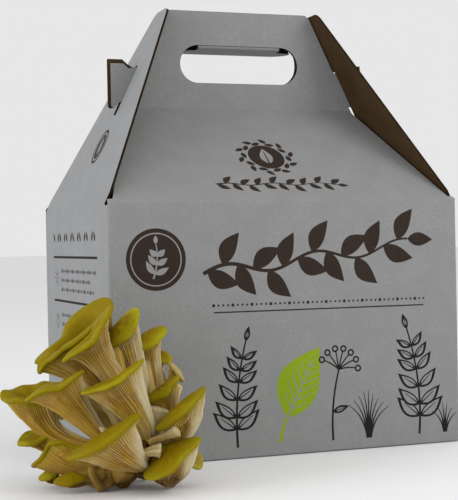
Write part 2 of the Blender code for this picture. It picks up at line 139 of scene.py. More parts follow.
# How fine the cluster's meshes are
LARGE_SIZE = 16  # beyond this size, a fruit body gets more points
STEM_ROWS = 34
LARGE_STEM_ROWS = 46
GILL_SAMPLES = 6  # points round the stem for each gill
CAP_SIDES = 120
LARGE_CAP_SIDES = 176
TOP_RINGS = 20
MARGIN_RINGS = 12
SPROUT_SIDES = 48
SPROUT_ROWS = 34
FOOT_DIVISIONS = 6
PROBES = 32  # rays round each ring that find the solid's surface
HALVINGS = 18  # steps that close in on the foot's surface
FOOT_LIMIT = 80.0  # farther from the core than any of that surface
TINY = 1e-9


@dataclass
class Fruit:
    """One fruit body: a stem whose gills run down it, and a cap whose rim is an oval."""

    name: str
    rim: Vector  # the middle of the rim
    lean: tuple  # the cap's axis: its azimuth, and its angle from upright
    turn: float  # of the oval about that axis
    half: tuple  # half the oval's length and width
    root: Vector  # where the stem leaves the foot
    stem: tuple  # the stem's radius at its foot and from halfway on
    dip: float  # how deep the cap's top is
    lip: float  # thickness of the rolled margin
    lateral: float = 0.4  # how far the throat lies off the rim's middle, as a share of the size
    reach: float = 1.1  # how far down the stem its solid flares, in sizes
    hang: float = 0.45  # how far the stem keeps to the cap's axis, as a share of its run
    waves: tuple = ()  # waves round the margin: count, share of the radius, lift, phase
    curls: tuple = ()  # local bends of the margin: angle, width, lift, share of the radius
    rust_and_shade: float = 0.0  # how far the flesh has turned orange brown: partly real browning, partly painted shade
    swell: float = 2.0  # how far the stem may stand out from its own solid
    hollow: float = 0.1  # depth of the throat, as a share of the size
    point: float = 0.07  # how far the oval draws in between its axes
    crown: float = 0.0  # how far the top bulges over the rim
    spread: float = 1.0  # how much further the gills run down than those of the solid
    pit: tuple = (0, 0)  # shift of the hollow along the cap's length and width
    pallor: float = 0.6  # how pale the flank is that faces the pale side: partly its own colour, partly a painted highlight
    bleach: float = 0.0  # how far the cap has stayed without its yellow
    cap_shade: float = 0.0  # how far the cap's yellow darkens to orange brown: painted shade of caps that lie low or under others
    faint: float = 0.0  # how far its gills close up

    def __post_init__(self):
        self.rim = Vector(self.rim)
        self.root = Vector(self.root)
        self.size = (self.half[0] + self.half[1]) / 2
        self.large = self.size > LARGE_SIZE


# Each with its name, rim, lean, turn, half, root, stem, dip and lip, then with what is its own
FRUITS = (
    Fruit("j", (-186, -227, 43), (168, 31), 83, (29, 19), (-155, -210, 20), (6, 7), 6, 5,
          waves=((2, 0, 1.5, 0),), curls=((270, 60, 1.5, 0),), swell=2.5, hollow=0.0, point=0.03, cap_shade=0.75,
          crown=2.0, pallor=1.3),
    Fruit("o", (-139, -226, 26), (-160, 38), 57, (24, 18), (-137, -212, 9), (5, 8), 4, 4.2, lateral=0.1,
          waves=((3, 0.03, 1, 60),), curls=((300, 45, 4, -0.14),), swell=4.0, point=0.03, hollow=0.0,
          pallor=1.5, crown=4.0, cap_shade=0.45),
    Fruit("f", (-174, -209, 80), (166, 27), 85, (25, 18), (-147, -199, 36), (6, 8), 8, 3.2, lateral=0.3,
          reach=3.0, hang=0.2, waves=((2, 0, 1.5, 0),), crown=0.8, cap_shade=0.4, pallor=1.4),
    Fruit("i", (-129, -217, 57), (173, 40), 80, (23, 15), (-136, -202, 28), (5, 6), 4, 4.2, lateral=0.1,
          reach=2.0, waves=((2, 0, 1, 0),), curls=((270, 50, 2, -0.1),), swell=4.5, spread=1.4, hollow=0.0,
          point=0.03, cap_shade=0.65, crown=3.4, pallor=1.2),
    Fruit("g", (-211, -187, 75), (166, 22), 84, (23, 14), (-167, -189, 28), (4, 5), 6, 4, lateral=0.6,
          reach=1.2, hang=0.3, waves=((3, 0.04, 1.5, 0),), rust_and_shade=0.65, swell=5.0, crown=1.0, spread=1.15,
          pallor=1.0, cap_shade=0.7, faint=0.3),
    Fruit("l", (-205, -186, 29), (120, 22), 128, (23, 13), (-177, -191, 20), (4, 5), 4, 4, lateral=0.5,
          reach=1.8, waves=((4, 0.04, 1, 0), (2, 0, 3.5, 180)), curls=((235, 28, 6.5, 0), (300, 25, 3, 0)),
          swell=4.0, crown=1.0, rust_and_shade=0.85, cap_shade=0.35, faint=0.5),
    Fruit("a", (-184, -183, 108), (170, 47), 83, (27, 16), (-149, -184, 42), (5, 6), 7, 4.5, lateral=0.3,
          reach=1.3, hang=0.12, waves=((2, 0, 2, 0),), curls=((60, 45, 2, 0),), swell=3.0, pallor=0.15,
          spread=0.75, cap_shade=0.6),
    Fruit("d", (-138, -175, 104), (-160, 38), 57, (14, 11), (-135, -177, 38), (3, 4), 3, 5, reach=1.4,
          hang=0.2, swell=3.5, hollow=0.0, point=0.02, crown=4.5, pallor=0.7, spread=0.8),
    Fruit("h", (-136, -196, 69), (170, 36), 82, (15, 9), (-137, -189, 36), (4, 5), 4, 5.5, lateral=0.2,
          reach=1.5, waves=((2, 0, 1, 0),), spread=1.8, swell=5.0, crown=3.0, rust_and_shade=0.3),
    Fruit("c", (-158, -175, 112), (-165, 54), 68, (17, 12), (-143, -181, 42), (4, 6), 4, 5, lateral=0.3,
          reach=2.0, hang=0.12, waves=((2, 0.03, 1, 0),), hollow=0.0, point=0.0, crown=5.0, swell=4.0,
          pallor=0.8, spread=1.1),
    Fruit("q", (-119, -181, 79), (-5, 55), -100, (9, 8), (-129, -182, 33), (3, 4), 2, 3.5, lateral=0.2,
          swell=3.0, hollow=0.0, point=0.0, crown=2.0, bleach=0.85, pallor=1.0),
    Fruit("e", (-124, -161, 89), (-80, 40), -35, (8, 7), (-129, -168, 34), (3, 3), 1, 4, lateral=0.2,
          hollow=0.0, point=0.0, crown=3.0),
    Fruit("u", (-221, -156, 67), (-125, 17), 15, (22, 14), (-170, -177, 24), (4, 5), 6, 5, lateral=0.3,
          hang=0.6, waves=((3, 0.05, 1.5, 0),),
          curls=((170, 14, 3.5, 0.05), (195, 7, 0.0, -0.06), (50, 32, 5, 0.04)), swell=3.5, hollow=0.15,
          spread=1.3, pallor=0.4, rust_and_shade=0.75, faint=0.35),
    Fruit("b", (-191, -151, 107), (-170, 45), 68, (36, 20), (-155, -172, 37), (4, 5), 11, 4, lateral=0.3,
          waves=((1, 0.08, 0, 0), (3, 0.02, 1, 0)),
          curls=((60, 32, 3.5, 0), (122, 26, -5, -0.06), (342, 26, -5, 0), (163, 9, 0, 0.15),
                 (176, 5, 1, -0.07), (189, 9, -3.5, 0.13), (206, 7, 0, -0.04)),
          rust_and_shade=0.3, swell=9.0, point=0.0, pit=(11, 8), pallor=0.4, spread=1.15, hollow=0.6, cap_shade=0.8),
    Fruit("k", (-217, -148, 32), (-163, 22), 55, (14, 12), (-173, -168, 18), (4, 4), 3, 5,
          waves=((3, 0.06, 1, 0), (0, 0.07, 4, 0), (1, 0.14, 0, 0)), rust_and_shade=0.3, crown=1.0, lateral=0.75,
          spread=0.6),
    Fruit("m", (-210, -165, 11), (-170, 25), 66, (9, 7), (-184, -178, 8), (3, 3), 2, 4, lateral=0.2,
          rust_and_shade=0.1, hollow=0.0, crown=3.0, cap_shade=0.5),
    Fruit("n", (-201, -190, 11), (-140, 20), 30, (12, 8), (-186, -188, 7), (3, 3), 1, 4, lateral=0.2,
          rust_and_shade=0.2, hollow=0.0, crown=4.2, cap_shade=1.0),
    Fruit("p", (-117, -203, 20), (-60, 45), 75, (11, 8), (-129, -195, 14), (4, 4), 2, 4.5, lateral=0.2,
          waves=((0, 0.08, 3, 0),), hollow=0.0, crown=2.0, bleach=0.2),
    Fruit("r", (-156, -136, 78), (70, 32), 0, (20, 15), (-145, -169, 40), (4, 5), 7, 5, lateral=0.3,
          waves=((3, 0.05, 1.5, 0),), rust_and_shade=0.2),
    Fruit("s", (-184, -127, 52), (120, 35), 10, (18, 14), (-157, -166, 28), (4, 4), 5, 5, lateral=0.2,
          waves=((3, 0.05, 1, 0),), rust_and_shade=0.3),
)


@dataclass
class Sprout:
    """A shoot that never opened, or a stem that ends under a neighbour's cap."""

    name: str
    run: tuple  # points at its foot, beside its middle and at its head
    radii: tuple  # at the foot, halfway and at the head
    head: float = 0.0  # how yellow the head is
    rust_and_shade: float = 0.2  # how far the flesh has turned orange brown: partly real browning, partly painted shade

    def __post_init__(self):
        self.run = [Vector(point) for point in self.run]


SPROUTS = (
    Sprout("middle", ((-166, -184, 26), (-175, -178, 50), (-184, -166, 74)), (9, 8.5, 4), rust_and_shade=0.75),
    Sprout("left_middle", ((-168, -188, 24), (-184, -184, 42), (-190, -168, 66)), (7, 6.5, 3), rust_and_shade=0.7),
    Sprout("under_a", ((-156, -186, 34), (-160, -180, 66), (-163, -172, 102)), (8, 7, 4), rust_and_shade=0.9),
    Sprout("under_c", ((-140, -184, 34), (-148, -178, 66), (-153, -168, 106)), (7, 6, 2.5), rust_and_shade=0.4),
    Sprout("under_d", ((-134, -186, 34), (-141, -180, 64), (-138, -168, 98)), (7, 5, 2), rust_and_shade=0.4),
    Sprout("behind_h", ((-128, -186, 30), (-128, -180, 52), (-131, -172, 86)), (7, 6, 2.5), rust_and_shade=0.4),
    Sprout("slim", ((-154, -182, 60), (-168, -177, 90), (-172, -176, 113)), (4, 2.6, 1.6), rust_and_shade=0.0),
    Sprout("gap_tip", ((-160, -188, 30), (-166, -188, 50), (-177, -187, 60)), (5, 3.2, 2.0), rust_and_shade=0.1),
    Sprout("gap_tip_low", ((-164, -196, 28), (-172, -198, 38), (-181, -197, 45)), (4, 2.6, 1.6), rust_and_shade=0.1),
    Sprout("right_knob", ((-134, -190, 40), (-128, -191, 58), (-122, -190, 71)), (5, 4, 4.4), rust_and_shade=0.0),
    Sprout("knob_under_i", ((-147, -206, 33), (-141, -216, 38), (-133, -224, 43)), (3, 2.4, 4.2), rust_and_shade=0.15),
    Sprout("mound", ((-144, -188, 30), (-141, -193, 44), (-138, -196, 57)), (8, 7, 7.5), rust_and_shade=0.0),
    Sprout("knob_over_o", ((-160, -212, 24), (-153, -220, 31), (-145, -223, 30)), (4, 2.2, 6.0), rust_and_shade=0.0),
    Sprout("bulb", ((-144, -206, 12), (-134, -209, 16), (-126, -211, 13)), (8, 9, 8), rust_and_shade=0.1),
    Sprout("stub", ((-186, -192, 17), (-187, -197, 9), (-180, -200, 3)), (3.2, 2.8, 2.4), rust_and_shade=0.9),
    Sprout("lump", ((-166, -196, 20), (-166, -201, 12), (-165, -203, 8)), (8, 8, 6.5), rust_and_shade=1.0),
    Sprout("left_mass", ((-178, -188, 12), (-190, -190, 12), (-206, -184, 15)), (8, 7, 5), rust_and_shade=0.9),
    Sprout("back_left", ((-160, -164, 24), (-172, -150, 40), (-176, -140, 58)), (7, 5, 4), rust_and_shade=0.5),
    Sprout("back_pin", ((-146, -162, 24), (-136, -152, 38), (-132, -148, 50)), (5, 3.6, 3.5), head=0.8),
    Sprout("back_pin_low", ((-142, -166, 16), (-126, -158, 22), (-118, -154, 30)), (5, 3.6, 3.5), head=0.8),
)


# Materials

def new_material(name, roughness):
    made = bpy.data.materials.new(name)
    made.use_nodes = True
    shader = made.node_tree.nodes["Principled BSDF"]
    shader.inputs["Roughness"].default_value = roughness
    shader.inputs["Specular IOR Level"].default_value = 0.2
    return made, made.node_tree, shader


def mixed(tree, share, low, high):
    """A colour between two colours or colour sockets, by a share from 0 to 1."""
    mix = tree.nodes.new("ShaderNodeMix")
    mix.data_type = "RGBA"
    tree.links.new(share, mix.inputs["Factor"])
    for socket, value in ((mix.inputs["A"], low), (mix.inputs["B"], high)):
        if isinstance(value, tuple):
            socket.default_value = (*value, 1.0)
        else:
            tree.links.new(value, socket)
    return mix.outputs["Result"]


def ranged(tree, value, from_low, from_high, to_low=0.0, to_high=1.0):
    """A value moved from one range to another, and kept within it."""
    node = tree.nodes.new("ShaderNodeMapRange")
    node.interpolation_type = "SMOOTHSTEP"
    tree.links.new(value, node.inputs["Value"])
    ends = {"From Min": from_low, "From Max": from_high, "To Min": to_low, "To Max": to_high}
    for name, number in ends.items():
        node.inputs[name].default_value = number
    return node.outputs["Result"]


def grain(tree, size, detail=3.0, stretch=(1, 1, 1)):
    """Noise whose features have a size in millimetres, in place on the object."""
    where = tree.nodes.new("ShaderNodeTexCoord")
    mapping = tree.nodes.new("ShaderNodeMapping")
    mapping.inputs["Scale"].default_value = stretch
    spots = tree.nodes.new("ShaderNodeTexNoise")
    spots.inputs["Scale"].default_value = 1 / (size * MM)
    spots.inputs["Detail"].default_value = detail
    tree.links.new(where.outputs["Object"], mapping.inputs["Vector"])
    tree.links.new(mapping.outputs["Vector"], spots.inputs["Vector"])
    return spots.outputs["Fac"]


def layered(tree, base, layers):
    """Colours laid over a base one after another, each where its own mask is."""
    for mask, colour in layers:
        base = mixed(tree, mask, base, colour)
    return base


def bumps(tree, shader, parts):
    """Bump from several heights, each with its depth in millimetres."""
    normal = None
    for height, depth in parts:
        bump = tree.nodes.new("ShaderNodeBump")
        bump.inputs["Distance"].default_value = depth * MM
        tree.links.new(height, bump.inputs["Height"])
        if normal is not None:
            tree.links.new(normal, bump.inputs["Normal"])
        normal = bump.outputs["Normal"]
    tree.links.new(normal, shader.inputs["Normal"])


def flute_lines(tree):
    """Faint lines that the flutes leave in the liner, one for each flute across the panel."""
    where = tree.nodes.new("ShaderNodeTexCoord")
    wave = tree.nodes.new("ShaderNodeTexWave")
    wave.bands_direction = "X"
    wave.inputs["Scale"].default_value = math.pi / 10 / (FLUTE_PITCH * MM)
    wave.inputs["Distortion"].default_value = 0.4
    wave.inputs["Detail"].default_value = 1.0
    tree.links.new(where.outputs["UV"], wave.inputs["Vector"])
    return wave.outputs["Fac"]


def paper_material(name, colour, shade, roughness, fleck=None):
    """Paper liner or ink on it: blotches, fine fibres and the flutes that show through."""
    made, tree, shader = new_material(name, roughness)
    shader.inputs["Specular IOR Level"].default_value = 0.1
    blotches = grain(tree, 22.0, 4.0)
    fibres = grain(tree, 0.9, 4.0, stretch=(1, 1, 0.45))
    base = mixed(tree, ranged(tree, blotches, 0.35, 0.65), shade, colour)
    between_fibres = tuple(0.86 * c for c in colour)
    base = mixed(tree, ranged(tree, fibres, 0.38, 0.6), between_fibres, base)
    if fleck:
        base = mixed(tree, ranged(tree, grain(tree, 1.6, 2.0), 0.62, 0.74), base, fleck)
    tree.links.new(base, shader.inputs["Base Color"])
    bumps(tree, shader, ((flute_lines(tree), 0.035), (fibres, 0.05)))
    return made


def make_board_materials():
    """The materials of a panel, in the order of its slots."""
    papers = (
        ("white_liner", (0.268, 0.269, 0.268), (0.243, 0.245, 0.245), 0.62),
        ("kraft_liner", (0.066, 0.038, 0.016), (0.047, 0.026, 0.011), 0.8, (0.09, 0.055, 0.026)),
        ("brown_ink", (0.034, 0.023, 0.017), (0.028, 0.019, 0.014), 0.72, (0.06, 0.047, 0.038)),
        ("green_ink", (0.25, 0.36, 0.012), (0.225, 0.325, 0.012), 0.72, (0.29, 0.39, 0.06)),
        ("black_ink", (0.014, 0.013, 0.012), (0.017, 0.016, 0.015), 0.72),
        # The cut edge is darker than the kraft liner: partly painted shade of its open flutes
        ("cut_edge", (0.040, 0.023, 0.010), (0.022, 0.013, 0.006), 0.85),
    )
    return [paper_material(*paper) for paper in papers]


def attribute(tree, name):
    """A value that a mesh carries at its points."""
    node = tree.nodes.new("ShaderNodeAttribute")
    node.attribute_name = name
    return node.outputs["Fac"]


def flesh(shader, weight):
    """Soft light under the skin."""
    shader.inputs["Subsurface Weight"].default_value = weight
    shader.inputs["Subsurface Radius"].default_value = (1.0, 0.6, 0.2)
    shader.inputs["Subsurface Scale"].default_value = 2.0 * MM


def darkened_near_floor(tree, base, clean, dark):
    """Darkens flesh to brown from one height down to another, in millimetres over the floor."""
    place = tree.nodes.new("ShaderNodeSeparateXYZ")
    tree.links.new(tree.nodes.new("ShaderNodeTexCoord").outputs["Object"], place.inputs[0])
    low = ranged(tree, place.outputs["Z"], clean * MM, dark * MM, 0.0, 0.92)
    return mixed(tree, low, base, (0.105, 0.048, 0.006))


def make_cap_material():
    """Yellow skin, darker in the throat and brighter at the margin: partly its own colour, partly painted
    shade in the hollow and a painted highlight on the margin.
    """
    made, tree, shader = new_material("cap_skin", 0.48)
    edge = attribute(tree, "edge")
    fine = grain(tree, 1.5)
    patches = grain(tree, 9.0)
    wide_patches = grain(tree, 18.0, 2.0)
    # Painted shade: darker towards the throat, where the hollow lies in shade
    throat = mixed(tree, ranged(tree, edge, 0.05, 0.6), (0.21, 0.112, 0.002), (0.28, 0.205, 0.004))
    base = layered(tree, throat, (
        # Painted highlight: the rounded margin is brighter
        (ranged(tree, edge, 0.5, 0.92), (0.335, 0.305, 0.009)),  # the margin
        (ranged(tree, attribute(tree, "tone"), 0.5, 1.0, 0.0, 0.5), (0.23, 0.13, 0.001)),  # streaks
        (ranged(tree, wide_patches, 0.42, 0.62, 0.0, 0.6), (0.265, 0.172, 0.003)),
        (ranged(tree, patches, 0.52, 0.74, 0.0, 0.35), (0.41, 0.375, 0.03)),
        (attribute(tree, "under"), (0.325, 0.28, 0.007)),  # the part that rolls under
        (attribute(tree, "deep"), (0.20, 0.14, 0.001)),  # painted shade of caps that lie low or under others, with their browning
        (attribute(tree, "bleach"), (0.46, 0.36, 0.15)),
        (ranged(tree, fine, 0.4, 0.7, 0.0, 0.25), (0.17, 0.11, 0.006)),
    ))
    tree.links.new(base, shader.inputs["Base Color"])
    flesh(shader, 0.06)
    shader.inputs["Specular IOR Level"].default_value = 0.04
    bumps(tree, shader, ((patches, 0.25), (fine, 0.05)))
    return made


def make_stem_material():
    """Cream flesh with orange brown between its gills, which is painted shade in the grooves, yellow where
    it meets the cap's margin.
    """
    made, tree, shader = new_material("stem_flesh", 0.58)
    tone = attribute(tree, "tone")
    fine = grain(tree, 0.8)
    patches = grain(tree, 7.0)
    wide_patches = grain(tree, 16.0, 2.0)
    # Painted shade: orange brown in the grooves between the gills
    valley = mixed(tree, ranged(tree, patches, 0.35, 0.7), (0.30, 0.155, 0.006), (0.42, 0.255, 0.018))
    crest = mixed(tree, tone, (0.50, 0.38, 0.13), (0.66, 0.56, 0.33))
    # Painted shade and browning: crests turn orange brown inside the cluster, in creases and where the flesh
    # has browned
    crest_darkening = ranged(tree, attribute(tree, "deep"), 0.0, 1.0, 0.0, 0.85)
    crest = mixed(tree, crest_darkening, crest, (0.37, 0.215, 0.012))
    ribbed = mixed(tree, attribute(tree, "gill"), valley, crest)
    ribbed = mixed(tree, ranged(tree, wide_patches, 0.46, 0.66, 0.0, 0.5), ribbed, (0.40, 0.25, 0.016))
    # The pale flank: partly its own colour, partly a painted highlight
    light = mixed(tree, tone, (0.48, 0.40, 0.21), (0.64, 0.58, 0.40))
    base = mixed(tree, attribute(tree, "pale"), darkened_near_floor(tree, ribbed, 30, 5), darkened_near_floor(tree, light, 19, 4))
    base = layered(tree, base, (
        (ranged(tree, attribute(tree, "flare"), 0.8, 1.0, 0.0, 0.75), (0.33, 0.26, 0.007)),
        (ranged(tree, fine, 0.45, 0.7, 0.0, 0.2), (0.28, 0.15, 0.015)),
    ))
    tree.links.new(base, shader.inputs["Base Color"])
    flesh(shader, 0.3)
    bumps(tree, shader, ((patches, 0.15), (fine, 0.05)))
    return made


def make_foot_material():
    """Brown flesh, darkest in its hollows, which is painted shade, and paler where the stems leave it."""
    made, tree, shader = new_material("foot_flesh", 0.6)
    patches = grain(tree, 6.0, 4.0)
    fine = grain(tree, 0.9)
    base = mixed(tree, ranged(tree, patches, 0.35, 0.68), (0.10, 0.045, 0.005), (0.22, 0.125, 0.014))
    base = layered(tree, base, (
        # Painted shade in the hollows
        (attribute(tree, "hollow"), (0.06, 0.025, 0.004)),
        (attribute(tree, "pale"), (0.40, 0.30, 0.13)),
        (ranged(tree, fine, 0.45, 0.7, 0.0, 0.35), (0.10, 0.05, 0.012)),
    ))
    tree.links.new(base, shader.inputs["Base Color"])
    flesh(shader, 0.1)
    bumps(tree, shader, ((patches, 0.4), (fine, 0.08)))
    return made


# Printed shapes, in a panel's own millimetres

def turned(x, y, way, ahead, aside=0.0):
    """The point ahead and to the left of another, which looks in a direction in degrees."""
    c, s = math.cos(math.radians(way)), math.sin(math.radians(way))
    return x + ahead * c - aside * s, y + ahead * s + aside * c


def between(start, end, t):
    return start[0] + (end[0] - start[0]) * t, start[1] + (end[1] - start[1]) * t


def oval(x, y, half_x, half_y=None, steps=36):
    half_y = half_y or half_x
    angles = [2 * math.pi * i / steps for i in range(steps)]
    return [(x + half_x * math.cos(a), y + half_y * math.sin(a)) for a in angles]


def leaf(x, y, way, length, width, bend=0.0, steps=9):
    """A pointed leaf that grows from its stalk's end in a direction, with a curved midrib."""
    sides = []
    for sign in (1, -1):
        side = []
        for i in range(steps + 1):
            t = i / steps
            middle = bend * length * math.sin(math.pi * t)
            half = width / 2 * math.sin(math.pi * t**0.82)
            side.append(turned(x, y, way, length * t, middle + sign * half))
        sides.append(side)
    return sides[0] + sides[1][-2:0:-1]


def stroke(path, width, end_width=None):
    """A line with a width that may taper to its end."""
    end_width = width if end_width is None else end_width
    left, right = [], []
    for i, (x, y) in enumerate(path):
        half = (width + (end_width - width) * i / (len(path) - 1)) / 2
        way = heading(path, i)
        left.append(turned(x, y, way, 0, half))
        right.append(turned(x, y, way, 0, -half))
    return left + right[::-1]


def curve(start, middle, end, steps=10):
    """A path that leaves its start towards the middle point and bends to its end."""
    stops = [i / steps for i in range(steps + 1)]
    return [between(between(start, middle, t), between(middle, end, t), t) for t in stops]


def heading(path, i):
    """Direction of a path at one of its points, in degrees."""
    x0, y0 = path[max(0, i - 1)]
    x1, y1 = path[min(len(path) - 1, i + 1)]
    return math.degrees(math.atan2(y1 - y0, x1 - x0))


def swayed(foot, top, sway, steps=10):
    """An upright stalk that bows to one side."""
    x, y = between(foot, top, 0.5)
    return curve(foot, (x + sway, y), top, steps)


def drawn_leaf(x, y, way, length, width, line=1.5, bend=0.0):
    """A leaf in outline, with its midrib."""
    inset = line * 1.7
    outer = leaf(x, y, way, length, width, bend)
    inner = leaf(*turned(x, y, way, inset), way, length - 2.6 * inset, width - 2 * line, bend)
    rib = [(x, y), turned(x, y, way, length * 0.68)]
    return [(outer, BLACK), (inner, WHITE), (stroke(rib, line * 0.8, 0.5), BLACK)]


def drawn_fern(foot, top, sway, pairs, leaf_length, leaf_width):
    """An upright stalk with pairs of outlined leaves that get smaller towards its tip."""
    stalk = swayed(foot, top, sway, 3 * pairs)
    shapes = [(stroke(stalk, 2.0, 1.3), BLACK)]
    for k in range(pairs):
        i = 3 + round(k * (len(stalk) - 4) / pairs)
        size = 1 - 0.5 * k / pairs
        for side in (-1, 1):
            way = heading(stalk, i) + side * 52
            shapes += drawn_leaf(*stalk[i], way, leaf_length * size, leaf_width * size, bend=0.06 * side)
    tip = len(stalk) - 1
    return shapes + drawn_leaf(*stalk[tip], heading(stalk, tip), leaf_length * 0.5, leaf_width * 0.5)


def drawn_umbel(foot, top, sway, rays, reach):
    """A stalk whose tip spreads into rays that each end in a small round seed head."""
    stalk = swayed(foot, top, sway)
    shapes = [(stroke(stalk, 1.9, 1.4), BLACK)]
    way = heading(stalk, len(stalk) - 1)
    for k in range(rays):
        end = turned(*top, way + (k / (rays - 1) - 0.5) * 150, reach)
        x, y = between(top, end, 0.5)
        shapes.append((stroke(curve(top, (x, y + reach * 0.12), end, 4), 1.3, 1.0), BLACK))
        shapes += [(oval(*end, 2.9, steps=14), BLACK), (oval(*end, 1.5, steps=12), WHITE)]
    return shapes + drawn_leaf(*stalk[4], way - 58, reach * 0.9, reach * 0.34)


def drawn_grass(x, y, height, blades):
    """A tuft of curved blades."""
    shapes = []
    for k in range(blades):
        place = k / (blades - 1)
        lean = (place - 0.5) * height * 0.9
        tall = height * (1 - abs(place - 0.45) * 0.7)
        path = curve((x + lean * 0.08, y), (x + lean * 0.25, y + tall * 0.7), (x + lean, y + tall), 7)
        shapes.append((stroke(path, 1.9, 0.4), BLACK))
    return shapes


def green_leaf(x, y, way, length, width):
    """A broad green leaf on a stalk, with pale veins."""
    stalk = curve(turned(x, y, way, -20, -4), turned(x, y, way, -8), turned(x, y, way, 2), 6)
    shapes = [(stroke(stalk, 3.0, 2.0), GREEN), (leaf(x, y, way, length, width, 0.05, 16), GREEN)]
    rib = [turned(x, y, way, length * t) for t in (0.0, 0.3, 0.6, 0.9)]
    shapes.append((stroke(rib, 1.5, 0.4), WHITE))
    for k in range(6):
        t = 0.12 + 0.12 * k
        reach = width * 0.5 * math.sin(math.pi * (t + 0.12) ** 0.82)
        start = turned(x, y, way, length * t)
        for side in (-1, 1):
            end = turned(*start, way + side * 44, reach)
            bow = turned(*between(start, end, 0.5), way, 0, side * 1.2)
            shapes.append((stroke(curve(start, bow, end, 4), 1.0, 0.4), WHITE))
    return shapes


def garland(start, end, swing, leaves, leaf_length, leaf_width, line=2.2):
    """A branch that waves from start to end with bold leaves on both sides by turns."""
    steps = 4 * leaves
    path = []
    for i in range(steps + 1):
        x, y = between(start, end, i / steps)
        path.append((x, y + swing * math.sin(math.pi * i / 12)))
    shapes = [(stroke(path, line, line * 0.5), BROWN)]
    for k in range(leaves):
        i = 4 * k + 1
        side = 1 if k % 2 else -1
        way = heading(path, i) + side * 48
        shapes.append((leaf(*path[i], way, leaf_length, leaf_width, 0.08 * side), BROWN))
    shapes.append((leaf(*path[-1], heading(path, steps), leaf_length * 0.8, leaf_width * 0.8), BROWN))
    return shapes


def wreath(x, y, radius, leaves, leaf_length, leaf_width):
    """Leaves that follow each other round a ring."""
    shapes = []
    for k in range(leaves):
        at = 360 * k / leaves
        way = at + 90 + (28 if k % 2 else -28)
        shapes.append((leaf(*turned(x, y, at, radius), way, leaf_length, leaf_width, steps=6), BROWN))
    return shapes


def medallion(x, y, radius):
    """A dark disc with a pale ring and a pale sprig in it."""
    shapes = [(oval(x, y, radius, steps=56), BROWN)]
    shapes += [(oval(x, y, radius * 0.86, steps=48), WHITE), (oval(x, y, radius * 0.82, steps=48), BROWN)]
    stalk = curve((x - radius * 0.1, y - radius * 0.62), (x + radius * 0.12, y), (x, y + radius * 0.5), 8)
    shapes.append((stroke(stalk, radius * 0.06, radius * 0.03), WHITE))
    for k in range(3):
        i = 1 + 2 * k
        length = radius * (0.52 - 0.09 * k)
        for side in (-1, 1):
            way = heading(stalk, i) + side * 50
            shapes.append((leaf(*stalk[i], way, length, radius * 0.2, 0.05 * side, 7), WHITE))
    shapes.append((leaf(*stalk[-1], 92, radius * 0.28, radius * 0.15, steps=6), WHITE))
    return shapes


def dots(start, end, count, radius, ink=BROWN):
    """A row of dots, every fourth one larger."""
    shapes = []
    for k in range(count):
        size = radius * (1.5 if k % 4 == 0 else 1.0)
        shapes.append((oval(*between(start, end, k / (count - 1)), size, steps=12), ink))
    return shapes


def rule(start, end, width, ink=BLACK):
    return [(stroke([start, end], width), ink)]


def sun(x, y, radius):
    shapes = [(oval(x, y, radius * 0.5, steps=18), BLACK), (oval(x, y, radius * 0.5 - 0.8, steps=16), WHITE)]
    for way in range(0, 360, 45):
        shapes += rule(turned(x, y, way, radius * 0.68), turned(x, y, way, radius), 0.9)
    return shapes


def drop(x, y, height):
    outer = leaf(x, y - height / 2, 90, height, height * 0.72, steps=10)
    inner = leaf(x, y - height / 2 + 1.0, 90, height - 2.8, height * 0.72 - 1.8, steps=10)
    return [(outer, BLACK), (inner, WHITE)]


def front_art():
    shapes = medallion(-112, 158, 24)
    shapes += garland((-74, 146), (104, 166), 5, 14, 29, 14, line=3.2)
    shapes += dots((-66, 121), (118, 121), 47, 0.9)
    shapes += rule((-66, 115.5), (118, 115.5), 1.1, BROWN)
    shapes += drawn_fern((-48, 9), (-40, 92), -7, 6, 25, 10)
    shapes += green_leaf(-6, 30, 62, 62, 36)
    shapes += drawn_umbel((34, 9), (40, 66), -5, 7, 17)
    shapes += drawn_grass(66, 9, 40, 9)
    shapes += drawn_fern((112, 9), (102, 96), 9, 6, 27, 11)
    shapes += drawn_grass(136, 9, 26, 6)
    return shapes


def back_art():
    shapes = medallion(110, 158, 24)
    shapes += garland((-116, 146), (64, 162), 5, 14, 29, 14, line=3.2)
    shapes += rule((-118, 115.5), (118, 115.5), 1.1, BROWN)
    shapes += drawn_fern((-90, 9), (-96, 92), 7, 6, 25, 10)
    shapes += drawn_umbel((-40, 9), (-34, 66), 5, 7, 17)
    shapes += green_leaf(10, 30, 70, 58, 34)
    shapes += drawn_grass(66, 9, 40, 9)
    shapes += drawn_umbel((108, 9), (102, 74), -5, 8, 19)
    return shapes


def side_art():
    """Care marks on a side wall: a row of leaves, then sun, drop and leaf between thin rules."""
    shapes = []
    for k in range(13):
        way = 60 if k % 2 else 120
        shapes.append((leaf(-72 + 12 * k, 173, way, 9.5, 4.4, steps=6), BLACK))
    marks = (sun(-66, 142, 8), drop(-66, 104, 13), drawn_leaf(-66, 59, 80, 15, 8, line=0.9))
    for k, mark in enumerate(marks):
        level = 142 - 38 * k
        shapes += rule((-78, level + 18), (78, level + 18), 2.0) + mark
        rows = ((70 - 14 * k, 25 - 3 * k), (50 + 6 * k, 21), (64 - 8 * k, 23 - k))
        for line, (end, count) in enumerate(rows):
            height = level + 6 - 8 * line
            shapes += dots((-46, height), (end, height), count, 1.3, BLACK)
    return shapes + rule((-78, 26), (78, 26), 2.0)


def roof_art():
    shapes = [(oval(0, 62, 15.5, 17, steps=48), BROWN)]
    shapes += wreath(0, 62, 21, 20, 9, 4.6)
    shapes += [(leaf(0, 52, 90, 22, 11, steps=10), WHITE), (stroke([(0, 48), (0, 70)], 1.6, 0.8), BROWN)]
    shapes += garland((-56, 23), (50, 23), 1.5, 16, 12, 5.6, line=1.6)
    return shapes


